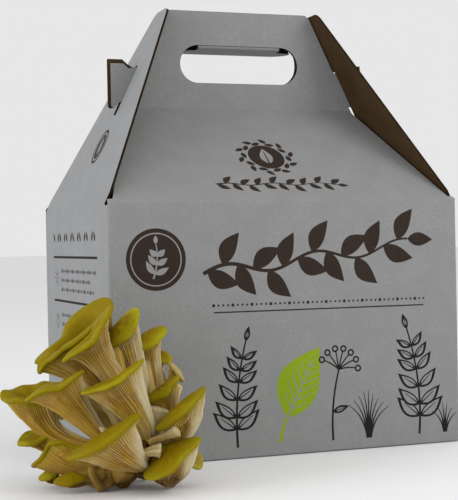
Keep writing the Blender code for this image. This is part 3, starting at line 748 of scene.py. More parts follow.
def gable_art():
    shapes = [(oval(0, 56, 15, 16, steps=48), BROWN), (oval(0, 56, 12.4, 13.4, steps=40), WHITE)]
    shapes += [(oval(0, 56, 10.8, 11.8, steps=36), BROWN), (leaf(0, 47.5, 90, 18, 8, steps=8), WHITE)]
    shapes += [(stroke([(0, 46), (0, 60)], 1.4, 0.8), BROWN)]
    return shapes


# Panels of board

def placed(name, mesh, replaced=None):
    """Shows a mesh as a piece that rides on the root body, in place of a solid where one is named."""
    made = bpy.data.objects.new(name, mesh)
    bpy.context.scene.collection.objects.link(made)
    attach(made, "root")
    if replaced:
        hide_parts(replaced)


class Fold:
    """A crease at a panel's end: its flat place, its angle in radians, and this panel's share of that."""

    def __init__(self, at, angle, share=0.5, radius=CREASE_RADIUS, valley=False):
        self.radius = radius
        self.valley = valley
        self.sweep = angle * share
        self.start = at - radius * math.tan(angle / 2)
        self.end = self.start + radius * self.sweep

    def stops(self):
        return [self.start + (self.end - self.start) * i / CREASE_STEPS for i in range(CREASE_STEPS)]

    def bend(self, flat, depth):
        """Place along the panel, and depth, of a point of the flat sheet."""
        if flat <= self.start:
            return flat, depth
        turn = (flat - self.start) / self.radius
        if self.valley:
            reach = self.radius + depth
            return self.start + reach * math.sin(turn), reach * math.cos(turn) - self.radius
        reach = self.radius - depth
        return self.start + reach * math.sin(turn), self.radius - reach * math.cos(turn)


def bent(value, depth, low, high):
    """A flat coordinate with the folds at its two ends."""
    if high and value > max(0, high.start):
        return high.bend(value, depth)
    if low and value < -low.start:
        place, deep = low.bend(-value, depth)
        return -place, deep
    return value, depth


@dataclass
class Panel:
    """A board panel: a flat outline in its own millimetres, placed by an origin and three directions."""

    place: tuple  # the origin, then the ways across, along and through the board
    outline: list  # of the outer liner
    inner: list = None  # outline of the inner liner
    hole: list = None
    low: Fold = None
    high: Fold = None
    ends: Fold = None  # the fold at the left and at the right
    art: tuple = ()
    crease_half: float = WIDTH  # the low fold ends here, and an ear beyond it stays flat
    flutes_from: float = -WIDTH  # height at which the flutes start
    board: float = BOARD  # thickness
    fluted: bool = True

    def __post_init__(self):
        self.origin, self.across, self.along, self.through = (Vector(v) for v in self.place)
        self.inner = self.inner or self.outline

    def flat_point(self, a, b, depth):
        return (self.origin + self.across * a + self.along * b + self.through * depth) * MM

    def bent_point(self, a, b, depth):
        a, deep_a = bent(a, depth, self.ends, self.ends)
        b, deep_b = bent(b, depth, self.low if abs(a) < self.crease_half else None, self.high)
        return self.flat_point(a, b, deep_a + deep_b - depth)


class Builder:
    """Gathers the points, faces, flat coordinates and material slots of one mesh."""

    def __init__(self):
        self.points = []
        self.faces = []
        self.slots = []
        self.flat = []

    def add(self, points, flat):
        start = len(self.points)
        self.points += points
        self.flat += flat
        return start

    def face(self, corners, slot):
        self.faces.append(tuple(corners))
        self.slots.append(slot)

    def mesh(self, name, materials):
        mesh = bpy.data.meshes.new(name)
        mesh.from_pydata(self.points, [], self.faces)
        for item in materials:
            mesh.materials.append(item)
        mesh.polygons.foreach_set("material_index", self.slots)
        layer = mesh.uv_layers.new(name="flat")
        corners = np.zeros(len(mesh.loops), np.int32)
        mesh.loops.foreach_get("vertex_index", corners)
        layer.data.foreach_set("uv", (np.array(self.flat)[corners] * MM).ravel())
        mesh.shade_smooth()
        mesh.set_sharp_from_angle(angle=math.radians(SHARP_ANGLE))
        return mesh


def crossing_lines(panel):
    """Lines across the sheet where its folds need points."""
    lines = []
    for fold, sign in ((panel.low, -1), (panel.high, 1)):
        for stop in fold.stops() if fold else ():
            lines.append(((-FAR, sign * stop), (FAR, sign * stop)))
    for sign in (-1, 1):
        for stop in panel.ends.stops() if panel.ends else ():
            lines.append(((sign * stop, -FAR), (sign * stop, FAR)))
    return lines


def left_turning(polygon):
    """The same polygon with its inside on the left of its run."""
    area = sum(a0 * b1 - a1 * b0 for (a0, b0), (a1, b1) in zip(polygon, polygon[1:] + polygon[:1]))
    return polygon if area > 0 else polygon[::-1]


def sheet(builder, panel, outline, depths, slots, place, art=(), lines=()):
    """A closed thin sheet between two depths: slots are those of its face, its back and its edges."""
    polygons = [outline] + ([panel.hole] if panel.hole else []) + [shape for shape, _ in art]
    polygons = [left_turning(polygon) for polygon in polygons]
    points, faces, edges = [], [], []
    for polygon in polygons:
        faces.append(list(range(len(points), len(points) + len(polygon))))
        points += [Vector(p) for p in polygon]
    for line in lines:
        edges.append((len(points), len(points) + 1))
        points += [Vector(p) for p in line]
    verts, _, tris, _, _, owners = delaunay_2d_cdt(points, edges, faces, 0, 1e-4, True)
    first_art = 2 if panel.hole else 1
    kept = []
    for tri, owner in zip(tris, owners):
        if 0 not in owner or (panel.hole and 1 in owner):
            continue
        inks = [k for k in owner if k >= first_art]
        kept.append((tri, art[max(inks) - first_art][1] if inks else slots[0]))
    used = sorted({i for tri, _ in kept for i in tri})
    order = {i: k for k, i in enumerate(used)}
    flat = [(verts[i][0], verts[i][1]) for i in used]
    top = builder.add([place(a, b, depths[0]) for a, b in flat], flat)
    bottom = builder.add([place(a, b, depths[1]) for a, b in flat], flat)
    rims = set()
    for tri, ink in kept:
        ring = [order[i] for i in tri]
        builder.face([top + i for i in ring], ink)
        builder.face([bottom + i for i in reversed(ring)], slots[1])
        for k in range(3):
            pair = (ring[k], ring[(k + 1) % 3])
            if (pair[1], pair[0]) in rims:
                rims.discard((pair[1], pair[0]))
            else:
                rims.add(pair)
    for i, j in sorted(rims):
        builder.face([top + j, top + i, bottom + i, bottom + j], slots[2])


def spans(polygons, a):
    """Where an upright line at a lies inside the first polygon and outside the others."""
    cuts = []
    for polygon in polygons:
        for (a0, b0), (a1, b1) in zip(polygon, polygon[1:] + polygon[:1]):
            if (a0 <= a) != (a1 <= a):
                cuts.append(b0 + (b1 - b0) * (a - a0) / (a1 - a0))
    cuts.sort()
    return [pair for pair in zip(cuts[::2], cuts[1::2]) if pair[1] - pair[0] > 3 * FLUTE_INSET]


def flutes(builder, panel):
    """The waved sheet between the liners, one closed strip for each stretch without a break."""
    polygons = [panel.inner] + ([panel.hole] if panel.hole else [])
    edge = max(a for a, _ in panel.inner) - 2 * FLUTE_INSET
    step = FLUTE_PITCH / FLUTE_STEPS
    count = int(2 * edge / step)
    height = (panel.board - 2 * LINER - FLUTE_SHEET) / 2
    strips = []
    for k in range(count + 1):
        a = -edge + k * step
        found = spans(polygons, a)
        open_strips = [s for s in strips if s[-1][0] == k - 1]
        if len(open_strips) == len(found):
            for strip, span in zip(open_strips, found):
                strip.append((k, a, *span))
        else:
            strips += [[(k, a, *span)] for span in found]
    for strip in strips:
        if len(strip) < 2:
            continue
        points, flat = [], []
        for _, a, low, high in strip:
            middle = panel.board / 2 + height * math.cos(2 * math.pi * a / FLUTE_PITCH)
            bottom, top = max(low + FLUTE_INSET, panel.flutes_from), high - FLUTE_INSET
            near, far = middle - FLUTE_SHEET / 2, middle + FLUTE_SHEET / 2
            for b, depth in ((bottom, near), (top, near), (top, far), (bottom, far)):
                points.append(panel.flat_point(a, b, depth))
                flat.append((a, b))
        start = builder.add(points, flat)
        for k in range(len(strip) - 1):
            at = start + 4 * k
            for side in range(4):
                other = (side + 1) % 4
                builder.face((at + side, at + 4 + side, at + 4 + other, at + other), EDGE)
        builder.face([start + i for i in range(4)], EDGE)
        builder.face([start + 4 * len(strip) - 1 - i for i in range(4)], EDGE)


def make_panel(node, panel, materials):
    """One piece: an outer liner that is bent and printed, a flat inner one, and the flutes between them."""
    builder = Builder()
    outside, inside = (0.0, LINER), (panel.board - LINER, panel.board)
    lines = crossing_lines(panel)
    sheet(builder, panel, panel.outline, outside, (WHITE, KRAFT, EDGE), panel.bent_point, panel.art, lines)
    sheet(builder, panel, panel.inner, inside, (EDGE, KRAFT, EDGE), panel.flat_point)
    if panel.fluted:
        flutes(builder, panel)
    name = node + "_board"
    placed(name, builder.mesh(name, materials), node)


def arc(centre, radius, start, end):
    ways = [start + (end - start) * i / ARC_STEPS for i in range(ARC_STEPS + 1)]
    return [turned(*centre, way, radius) for way in ways]


def mirrored(points):
    """A left half added to a right half's outline that runs from the bottom middle up to the top middle."""
    return points + [(-a, b) for a, b in reversed(points)]


def gable_x(height):
    """Where a gable's outer face is at a height."""
    rise = (height - WALL_HEIGHT) / (TOTAL_HEIGHT - WALL_HEIGHT)
    return WIDTH / 2 + (GABLE_TOP_X - WIDTH / 2) * rise


# Lengths of the roof, and the angles of its folds in radians
GABLE_LEAN = math.atan2(WIDTH / 2 - GABLE_TOP_X, TOTAL_HEIGHT - WALL_HEIGHT)
ROOF_RUN = DEPTH / 2 - BOARD - HANDLE_HALF_GAP
ROOF_RISE = HANDLE_CREASE_HEIGHT - WALL_HEIGHT
ROOF_LENGTH = math.hypot(ROOF_RUN, ROOF_RISE)
ROOF_SLOPE = math.atan2(ROOF_RISE, ROOF_RUN)
ROOF_FOLD = math.pi / 2 - ROOF_SLOPE
ROOF_MITRE = BOARD * math.tan(ROOF_FOLD / 2)


def inside_gable_x(height):
    """Where a panel that ends at a gable stops, clear of the gable's inner face."""
    return gable_x(height) - BOARD / math.cos(GABLE_LEAN) - EDGE_CLEARANCE


def wall_panels():
    """The walls. A side wall's upper corners are notched, where the front's and the back's creases end."""
    corner = math.pi / 2
    for name, side, half, normal, top_fold, art in (
        ("front_wall", (1, 0, 0), WIDTH / 2, (0, 1, 0), ROOF_FOLD, front_art()),
        ("back_wall", (-1, 0, 0), WIDTH / 2, (0, -1, 0), ROOF_FOLD, back_art()),
        ("left_wall", (0, -1, 0), DEPTH / 2, (1, 0, 0), GABLE_LEAN, side_art()),
        ("right_wall", (0, 1, 0), DEPTH / 2, (-1, 0, 0), GABLE_LEAN, side_art()),
    ):
        reach = DEPTH / 2 if side[0] else WIDTH / 2
        edge = Fold(half, corner)
        top = Fold(WALL_HEIGHT, top_fold)
        foot = Fold(0.0, corner)
        outline = [(edge.end, -foot.end), (edge.end, top.end)]
        inner_edge, inner_top = half - BOARD - GAP / 2, WALL_HEIGHT - BOARD * math.tan(top_fold / 2)
        inner = [(inner_edge, 0), (inner_edge, inner_top)]
        if not side[0]:
            low_top = WALL_HEIGHT - CORNER_NOTCH
            step = half - CORNER_NOTCH_WIDTH
            outline[1:] = [(edge.end, low_top), (step, low_top), (step, top.end)]
            inner[1:] = [(inner_edge, low_top - 1), (step, low_top - 1), (step, inner_top)]
        place = (-reach * Vector(normal), side, (0, 0, 1), normal)
        sheets = (mirrored(outline), mirrored(inner))
        yield name, Panel(place, *sheets, low=foot, high=top, ends=edge, art=art, fluted=False)


def roof_panels():
    """The sloping panels between the walls and the handle, with a small tab at each lower corner."""
    def edge(along):
        return inside_gable_x(WALL_HEIGHT + along * math.sin(ROOF_SLOPE))

    low = Fold(0.0, ROOF_FOLD)
    high = Fold(ROOF_LENGTH, ROOF_FOLD, radius=VALLEY_RADIUS, valley=True)
    wide = WIDTH / 2 - GAP
    top_x = edge(ROOF_LENGTH) - 1.5
    tab_end = (edge(ROOF_TAB) - 0.5, ROOF_TAB + 0.6)
    outline = [(wide, -low.end), (wide - 0.7, ROOF_TAB), tab_end, (top_x, high.end)]
    inner_x = wide - BOARD
    inner = [(inner_x, ROOF_MITRE), (inner_x, ROOF_TAB), tab_end, (top_x, ROOF_LENGTH + ROOF_MITRE)]
    for name, sign in (("roof_front", 1), ("roof_back", -1)):
        place = (
            (0, -sign * DEPTH / 2, WALL_HEIGHT),
            (sign, 0, 0),
            (0, sign * math.cos(ROOF_SLOPE), math.sin(ROOF_SLOPE)),
            (0, sign * math.sin(ROOF_SLOPE), -math.cos(ROOF_SLOPE)),
        )
        sheets = (mirrored(outline), mirrored(inner))
        yield name, Panel(place, *sheets, low=low, high=high, art=roof_art(), fluted=False)


def gable_panels():
    """The leaning gables, each with the slot that holds the handle's ears."""
    def up(height):
        return (height - WALL_HEIGHT) / math.cos(GABLE_LEAN)

    length = up(TOTAL_HEIGHT)
    slope = math.degrees(math.atan2(length - GABLE_SHOULDER, GABLE_BASE_HALF - GABLE_TOP_HALF))
    centre = (GABLE_TOP_HALF - 5, length - GABLE_CORNER_RADIUS)
    low = Fold(0.0, GABLE_LEAN)
    top = [(GABLE_BASE_HALF, GABLE_SHOULDER)] + arc(centre, GABLE_CORNER_RADIUS, 90 - slope, 90)
    outline = mirrored([(GABLE_BASE_HALF, -low.end)] + top)
    inner = mirrored([(GABLE_BASE_HALF, GABLE_BOARD * math.tan(GABLE_LEAN / 2))] + top)
    slot = mirrored([(SLOT_HALF_WIDTH, up(SLOT_BOTTOM_HEIGHT)), (SLOT_HALF_WIDTH, up(SLOT_TOP_HEIGHT))])
    for name, sign in (("gable_left", -1), ("gable_right", 1)):
        place = (
            (sign * WIDTH / 2, 0, WALL_HEIGHT),
            (0, sign, 0),
            (-sign * math.sin(GABLE_LEAN), 0, math.cos(GABLE_LEAN)),
            (-sign * math.cos(GABLE_LEAN), 0, -math.sin(GABLE_LEAN)),
        )
        yield name, Panel(place, outline, inner, slot, low=low, art=gable_art(), board=GABLE_BOARD)


def stadium(top):
    """The hand hole's outline, from its fixed lower edge to an upper one."""
    radius = HAND_HOLE_RADIUS
    straight = HAND_HOLE_HALF - radius
    low = arc((straight, HAND_HOLE_BOTTOM + radius), radius, -90, 0)
    return mirrored(low + arc((straight, top - radius), radius, 0, 90))


def handle_panels():
    """The upright panels of the handle. Their ears reach through the gables' slots and hook behind them."""
    crease = HANDLE_CREASE_HEIGHT
    crease_x = inside_gable_x(crease)
    low = Fold(0.0, ROOF_FOLD, radius=VALLEY_RADIUS, valley=True)

    def over_crease(points):
        return [(a, b - crease) for a, b in points]

    for name, sign, ear_x, ear_top, rise, hole_rise in (
        ("handle_front", 1, FRONT_EAR_X, FRONT_EAR_TOP, 0.0, 0.0),
        ("handle_back", -1, BACK_EAR_X, BACK_EAR_TOP, BACK_RISE, BACK_HOLE_RISE),
    ):
        top = TOTAL_HEIGHT + rise
        side = [
            (inside_gable_x(NECK_BOTTOM_HEIGHT), NECK_BOTTOM_HEIGHT),
            (gable_x(NECK_BOTTOM_HEIGHT) + 1, NECK_BOTTOM_HEIGHT),
            (ear_x - 2, EAR_BOTTOM),
            (ear_x, EAR_BOTTOM + 2),
            (ear_x, ear_top),
            (EAR_HOOK_X, ear_top),
            (EAR_HOOK_X - 4.5, ear_top - 4),
            (gable_x(NECK_TOP_HEIGHT) + 2, NECK_TOP_HEIGHT),
            (inside_gable_x(NECK_TOP_HEIGHT), NECK_TOP_HEIGHT),
            (inside_gable_x(top - 3), top - 3),
            (inside_gable_x(top) - 2, top),
        ]
        outline = mirrored([(crease_x, crease - low.end)] + side)
        inner = mirrored([(crease_x, crease - ROOF_MITRE)] + side)
        hole = stadium(HAND_HOLE_TOP + hole_rise)
        loops = [over_crease(loop) for loop in (outline, inner, hole)]
        place = ((0, -sign * (BOARD + HANDLE_HALF_GAP), crease), (sign, 0, 0), (0, 0, 1), (0, sign, 0))
        yield name, Panel(place, *loops, low=low, crease_half=crease_x + 0.5)


def hand_flap_panels():
    """The front flap bends back over its rounded crease. The back one's white face looks up."""
    radius = HAND_HOLE_RADIUS
    straight = HAND_HOLE_HALF - radius - 0.5
    turn = Fold(0.0, math.pi / 2, share=1.0, radius=BOARD - 0.1)
    tip = [(straight, 2 * BOARD + 2), (HAND_HOLE_HALF - 3, radius - 3)]
    tip += arc((straight + 0.5, radius), radius - 0.3, 0, 90)
    front_place = ((0, -BOARD, HAND_HOLE_TOP - BOARD - GAP), (-1, 0, 0), (0, 1, 0), (0, 0, 1))
    back_place = ((0, HANDLE_HALF_GAP, HAND_HOLE_TOP + BOARD), (1, 0, 0), (0, 1, 0), (0, 0, -1))
    front = (mirrored([(straight, -turn.end)] + tip), mirrored([(straight, 0.6)] + tip))
    yield "hand_flap_front", Panel(front_place, *front, low=turn, flutes_from=BOARD)
    yield "hand_flap_back", Panel(back_place, mirrored([(straight, 0.3)] + tip))


def make_carton():
    """The panels as pieces, and the bottom flaps as their own solids in the same papers."""
    materials = make_board_materials()
    for panels in (wall_panels(), roof_panels(), gable_panels(), handle_panels(), hand_flap_panels()):
        for node, panel in panels:
            make_panel(node, panel, materials)
    for side in ("back", "front", "left", "right"):
        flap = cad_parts["bottom_flap_" + side].data
        flap.materials.clear()
        flap.materials.append(materials[WHITE if side == "back" else KRAFT])


# Fruit bodies

def direction(azimuth, from_upright):
    """A way in space, from its azimuth and its angle from upright."""
    a, p = math.radians(azimuth), math.radians(from_upright)
    return Vector((math.sin(p) * math.cos(a), math.sin(p) * math.sin(a), math.cos(p)))


def cap_axes(fruit):
    """The cap's long direction, wide direction and axis."""
    axis = direction(*fruit.lean)
    level = Vector((0, 0, 1)).cross(axis).normalized()
    other = axis.cross(level)
    turn = math.radians(fruit.turn)
    long = level * math.cos(turn) + other * math.sin(turn)
    return long, axis.cross(long), axis


def round_angles(count):
    """Even angles round a circle, in radians."""
    return np.linspace(0, 2 * math.pi, count, endpoint=False)


def random_waves(rng, angles, first, count, weakest=0.3):
    """A smooth closed curve between about -1 and 1: waves added up, from one with `first` crests onwards."""
    total = np.zeros_like(angles)
    for k in range(first, first + count):
        height = rng.uniform(weakest, 1) / math.sqrt(count)
        total += height * np.cos(k * angles + rng.uniform(0, 2 * math.pi))
    return total


def wobble(fruit, angles, first, count):
    """Small waves of the margin, each fruit body its own."""
    return random_waves(random.Random(fruit.name), angles, first, count, 0.4)


def rim_at(fruit, angles):
    """Rim radius and height above the rim's plane, at angles round the cap."""
    a, b = fruit.half
    radius = a * b / np.hypot(b * np.cos(angles), a * np.sin(angles))
    radius = radius * (1 - fruit.point * np.sin(2 * angles) ** 2)
    radius = radius * (1 - 0.014 * (1 + wobble(fruit, angles, 3, 8)))
    height = 0.013 * fruit.size * wobble(fruit, angles, 3, 7)
    for count, share, lift, phase in fruit.waves:
        wave = np.cos(count * angles + math.radians(phase))
        radius = radius * (1 + share * wave)
        height = height + lift * wave
    for at, width, lift, share in fruit.curls:
        off = (np.degrees(angles) - at + 180) % 360 - 180
        bump = np.exp(-((off / width) ** 2))
        radius = radius * (1 + share * bump)
        height = height + lift * bump
    return radius, height


def margin(fruit, angles):
    """Half the thickness of the rolled margin, which thins out towards the ends of the oval."""
    ends = np.abs(np.cos(angles)) ** 3
    return fruit.lip / 2 * (1 - 0.3 * ends) * (1 - 0.1 * (1 + wobble(fruit, angles, 2, 4)) / 2)


def throat_of(fruit):
    """The throat's place, and how far it lies off the rim's middle along the cap's length and width."""
    long, wide, axis = cap_axes(fruit)
    away = fruit.root - fruit.rim
    away -= axis * away.dot(axis)
    shift = away.normalized() * fruit.lateral * fruit.size
    return fruit.rim + shift, shift.dot(long), shift.dot(wide)


def spine_lead(fruit):
    """The way in which a stem leaves the foot: half outwards from the core, half towards its throat."""
    throat = throat_of(fruit)[0]
    return ((fruit.root - CORE).normalized() + (throat - fruit.root).normalized()).normalized()


def spine_of(fruit):
    """The four points of the curve that a stem follows."""
    throat = throat_of(fruit)[0]
    axis = cap_axes(fruit)[2]
    span = (throat - fruit.root).length
    lead = spine_lead(fruit)
    return fruit.root, fruit.root + lead * span * 0.3, throat - axis * span * fruit.hang, throat


def flare_at(fruit, t):
    """Share of the way from a plain stem to the rim's full width, at a share of the stem's run."""
    span = (throat_of(fruit)[0] - fruit.root).length
    fade = span / (fruit.reach * fruit.spread * fruit.size)
    return (math.exp((t - 1) * fade) - math.exp(-fade)) / (1 - math.exp(-fade))


def bezier(points, t):
    """The place and the direction at a share of a curve's run."""
    p0, p1, p2, p3 = points
    s = 1 - t
    place = p0 * s**3 + p1 * 3 * s * s * t + p2 * 3 * s * t * t + p3 * t**3
    tangent = (p1 - p0) * s * s + (p2 - p1) * 2 * s * t + (p3 - p2) * t * t
    return place, tangent.normalized()


@dataclass
class Station:
    """A place on a stem's spine."""

    t: float  # share of the stem's run
    place: Vector
    long: Vector  # the ways in which its ring lies
    wide: Vector
    along: Vector
    flare: float  # how far the ring has opened, up to 1 at the rim


def stations_of(fruit, stops):
    """Stations up the spine, whose directions are carried down from the cap's own ones without twist."""
    cap_long, cap_wide, axis = cap_axes(fruit)
    long, wide, along = cap_long, cap_wide, axis
    spine = spine_of(fruit)
    result = []
    for t in reversed(stops):
        place, tangent = bezier(spine, t)
        turn = along.rotation_difference(tangent)
        long, wide, along = turn @ long, turn @ wide, tangent
        flare = flare_at(fruit, t)
        ways = (long.lerp(cap_long, flare), wide.lerp(cap_wide, flare), tangent.lerp(axis, flare))
        result.append(Station(t, place, *ways, flare))
    return result[::-1]


def smooth_step(value, low, high):
    share = np.clip((value - low) / (high - low), 0, 1)
    return share * share * (3 - 2 * share)


def add_values(mesh, attributes):
    """Gives a mesh the named values of its points, which its material reads."""
    for key, values in attributes.items():
        mesh.attributes.new(key, "FLOAT", "POINT").data.foreach_set("value", np.asarray(values, np.float32))


def grid_piece(name, rings, ends, material, attributes, replaced=None):
    """A closed surface of rings, each a row of points in millimetres, with a single point at either end."""
    loops, sides, _ = rings.shape
    points = np.concatenate([rings.reshape(-1, 3), np.array(ends)]) * MM
    i = np.arange(sides)
    j = (i + 1) % sides
    last = (loops - 1) * sides
    low_end = np.full(sides, loops * sides)
    faces = []
    for k in range(0, last, sides):
        faces += np.stack([k + i, k + j, k + sides + j, k + sides + i], 1).tolist()
    faces += np.stack([low_end, j, i], 1).tolist()
    faces += np.stack([low_end + 1, last + i, last + j], 1).tolist()
    mesh = bpy.data.meshes.new(name)
    mesh.from_pydata(points.tolist(), [], faces)
    add_values(mesh, {
        key: np.concatenate([values.ravel(), [values[0].mean(), values[-1].mean()]])
        for key, values in attributes.items()
    })
    mesh.materials.append(material)
    mesh.shade_smooth()
    placed(name, mesh, replaced)


def frame_tree(node):
    """Search tree of a CAD node's surface, in millimetres."""
    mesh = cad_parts[node].data
    faces = [tuple(p.vertices) for p in mesh.polygons]
    return BVHTree.FromPolygons([v.co / MM for v in mesh.vertices], faces)


def laid_out(middle, ways, shifts):
    """A ring of points that lie off its middle by their shifts along the ways."""
    points = np.array(middle)
    for way, shift in zip(ways, shifts):
        points = points + shift[:, None] * np.array(way)
    return points


def raw_ring(fruit, station, angles):
    """A ring of the stem as it is before its neighbours press on it."""
    radius, height = rim_at(fruit, angles)
    curl = margin(fruit, angles)
    radius = radius - GILL_INSET * curl
    _, off_long, off_wide = throat_of(fruit)
    flare = station.flare
    plain = fruit.stem[0] + (fruit.stem[1] - fruit.stem[0]) * min(1, 2 * station.t)
    x = (radius * np.cos(angles) - off_long) * flare + plain * np.cos(angles) * (1 - flare)
    y = (radius * np.sin(angles) - off_wide) * flare + plain * np.sin(angles) * (1 - flare)
    z = (height - GILL_DROP * curl) * flare
    return laid_out(station.place, (station.long, station.wide, station.along), (x, y, z))


def press_shares(fruit, stations):
    """The share of each free ring that the stem's own solid leaves, smoothed along the stem and round it."""
    tree = frame_tree("stem_" + fruit.name)
    angles = round_angles(PROBES)
    shares = np.ones((len(stations), PROBES))
    for row, station in enumerate(stations):
        if station.t > 0.96:
            continue
        for col, point in enumerate(raw_ring(fruit, station, angles)):
            way = Vector(point) - station.place
            hit = tree.ray_cast(station.place + way * 1.04, -way.normalized(), way.length)
            if hit[0] is not None:
                shares[row, col] = min(1.0, (hit[0] - station.place).length / way.length)
    for _ in range(2):
        shares = (shares + np.roll(shares, 1, 1) + np.roll(shares, -1, 1)) / 3
        padded = np.concatenate([shares[:1], shares, shares[-1:]])
        shares = (padded[:-2] + 2 * shares + padded[2:]) / 4
    return shares


def pressed_rings(fruit, stations, turns):
    """The stem's rings, drawn in where they would stand too far out of its own solid."""
    probe_angles = np.linspace(0, 2 * math.pi, PROBES + 1)
    rings = []
    for station, angles, shares in zip(stations, turns, press_shares(fruit, stations)):
        out = raw_ring(fruit, station, angles) - np.array(station.place)
        share = np.interp(angles % (2 * math.pi), probe_angles, np.append(shares, shares[0]))
        share = share + np.minimum(1 - share, fruit.swell / (np.linalg.norm(out, axis=1) + TINY))
        rings.append(np.array(station.place) + out * share[:, None])
    return np.array(rings)


def ring_normals(rings):
    normals = np.cross(np.roll(rings, -1, 1) - np.roll(rings, 1, 1), np.gradient(rings, axis=0))
    return normals / (np.linalg.norm(normals, axis=2, keepdims=True) + TINY)


def gill_ridges(rng, gills, sides, flare):
    """Ridge height from 0 to 1 round the stem at each ring: more tiers of gills rise as the stem widens."""
    place = np.arange(sides) * gills / sides
    ridges = np.zeros((len(flare), sides))
    for step, low, high in GILL_TIERS:
        near = np.round(place / step) * step
        off = np.abs(place - near)
        strength = np.array([rng.uniform(0.6, 1.0) for _ in range(gills + step)])
        start = np.array([rng.uniform(-0.08, 0.12) for _ in range(gills + step)])
        index = (near % gills).astype(int)
        for row, f in enumerate(flare):
            width = 0.24 + 0.6 * max(0.0, 0.3 - f) * step / 2
            grown = smooth_step(f - start[index], low, high)
            ridges[row] = np.maximum(ridges[row], strength[index] * grown * np.exp(-((off / width) ** 2)))
    return ridges


def funnel_ring(fruit, share, radius, angles, height, sink):
    """A ring of the cap's top, or of a sheet under it: such rings draw together into the throat."""
    _, off_long, off_wide = throat_of(fruit)
    inner = (1 - share) ** 2 * 0.9
    x = radius * np.cos(angles) + (off_long + fruit.pit[0]) * inner
    y = radius * np.sin(angles) + (off_wide + fruit.pit[1]) * inner
    throat = float(smooth_step(1 - share, 0.3, 1.0))
    dip = fruit.dip * max(0.0, 1 - fruit.crown / 2)
    z = height * share**2 - fruit.size * fruit.hollow * throat - sink
    z = z + fruit.crown * (1 - share**2) - dip * (1 - share) ** 2.6
    return laid_out(fruit.rim, cap_axes(fruit), (x, y, z))


def depth_in_cluster(points):
    """From 1 near the foot's core to 0 at the cluster's outside: how much painted shade the flesh gets
    there.
    """
    return 1 - smooth_step(np.linalg.norm(points - np.array(CORE), axis=-1), 30, 82)


def stem_folds(fruit, stops, angles):
    """Uneven values over a stem, drawn out along it. Where they are low, the stem is creased."""
    folds = np.zeros((len(stops), len(angles)))
    for row, t in enumerate(stops):
        for col, a in enumerate(angles):
            spot = Vector((1.7 * math.cos(a), 1.7 * math.sin(a), 1.4 * t + fruit.rim.x))
            folds[row, col] = noise.noise(spot)
    return folds


def pale_flank(fruit, out, flare, uneven):
    """How pale the stem is all over it: most on the flank that faces the pale side, partly a smooth flank
    without gills and partly a painted highlight.
    """
    spread = np.linalg.norm(out, axis=2, keepdims=True)
    facing = out / (spread + TINY) @ np.array(PALE_SIDE) + uneven
    fade = 1 - 0.55 * smooth_step(flare, 0.35, 0.95)
    return np.clip(smooth_step(facing, 0.2, 0.8) * fade[:, None] * fruit.pallor, 0, 1)


def rings_in_cap(fruit, angles):
    """Rings that carry the stem's surface on under the cap's top and down into its throat."""
    rim, height = rim_at(fruit, angles)
    inner = rim - margin(fruit, angles)
    sink = CAP_SHEET * 0.55
    shares = (0.97, *THROAT_SHARES)
    return [funnel_ring(fruit, share, inner * share, angles, height, sink) for share in shares]


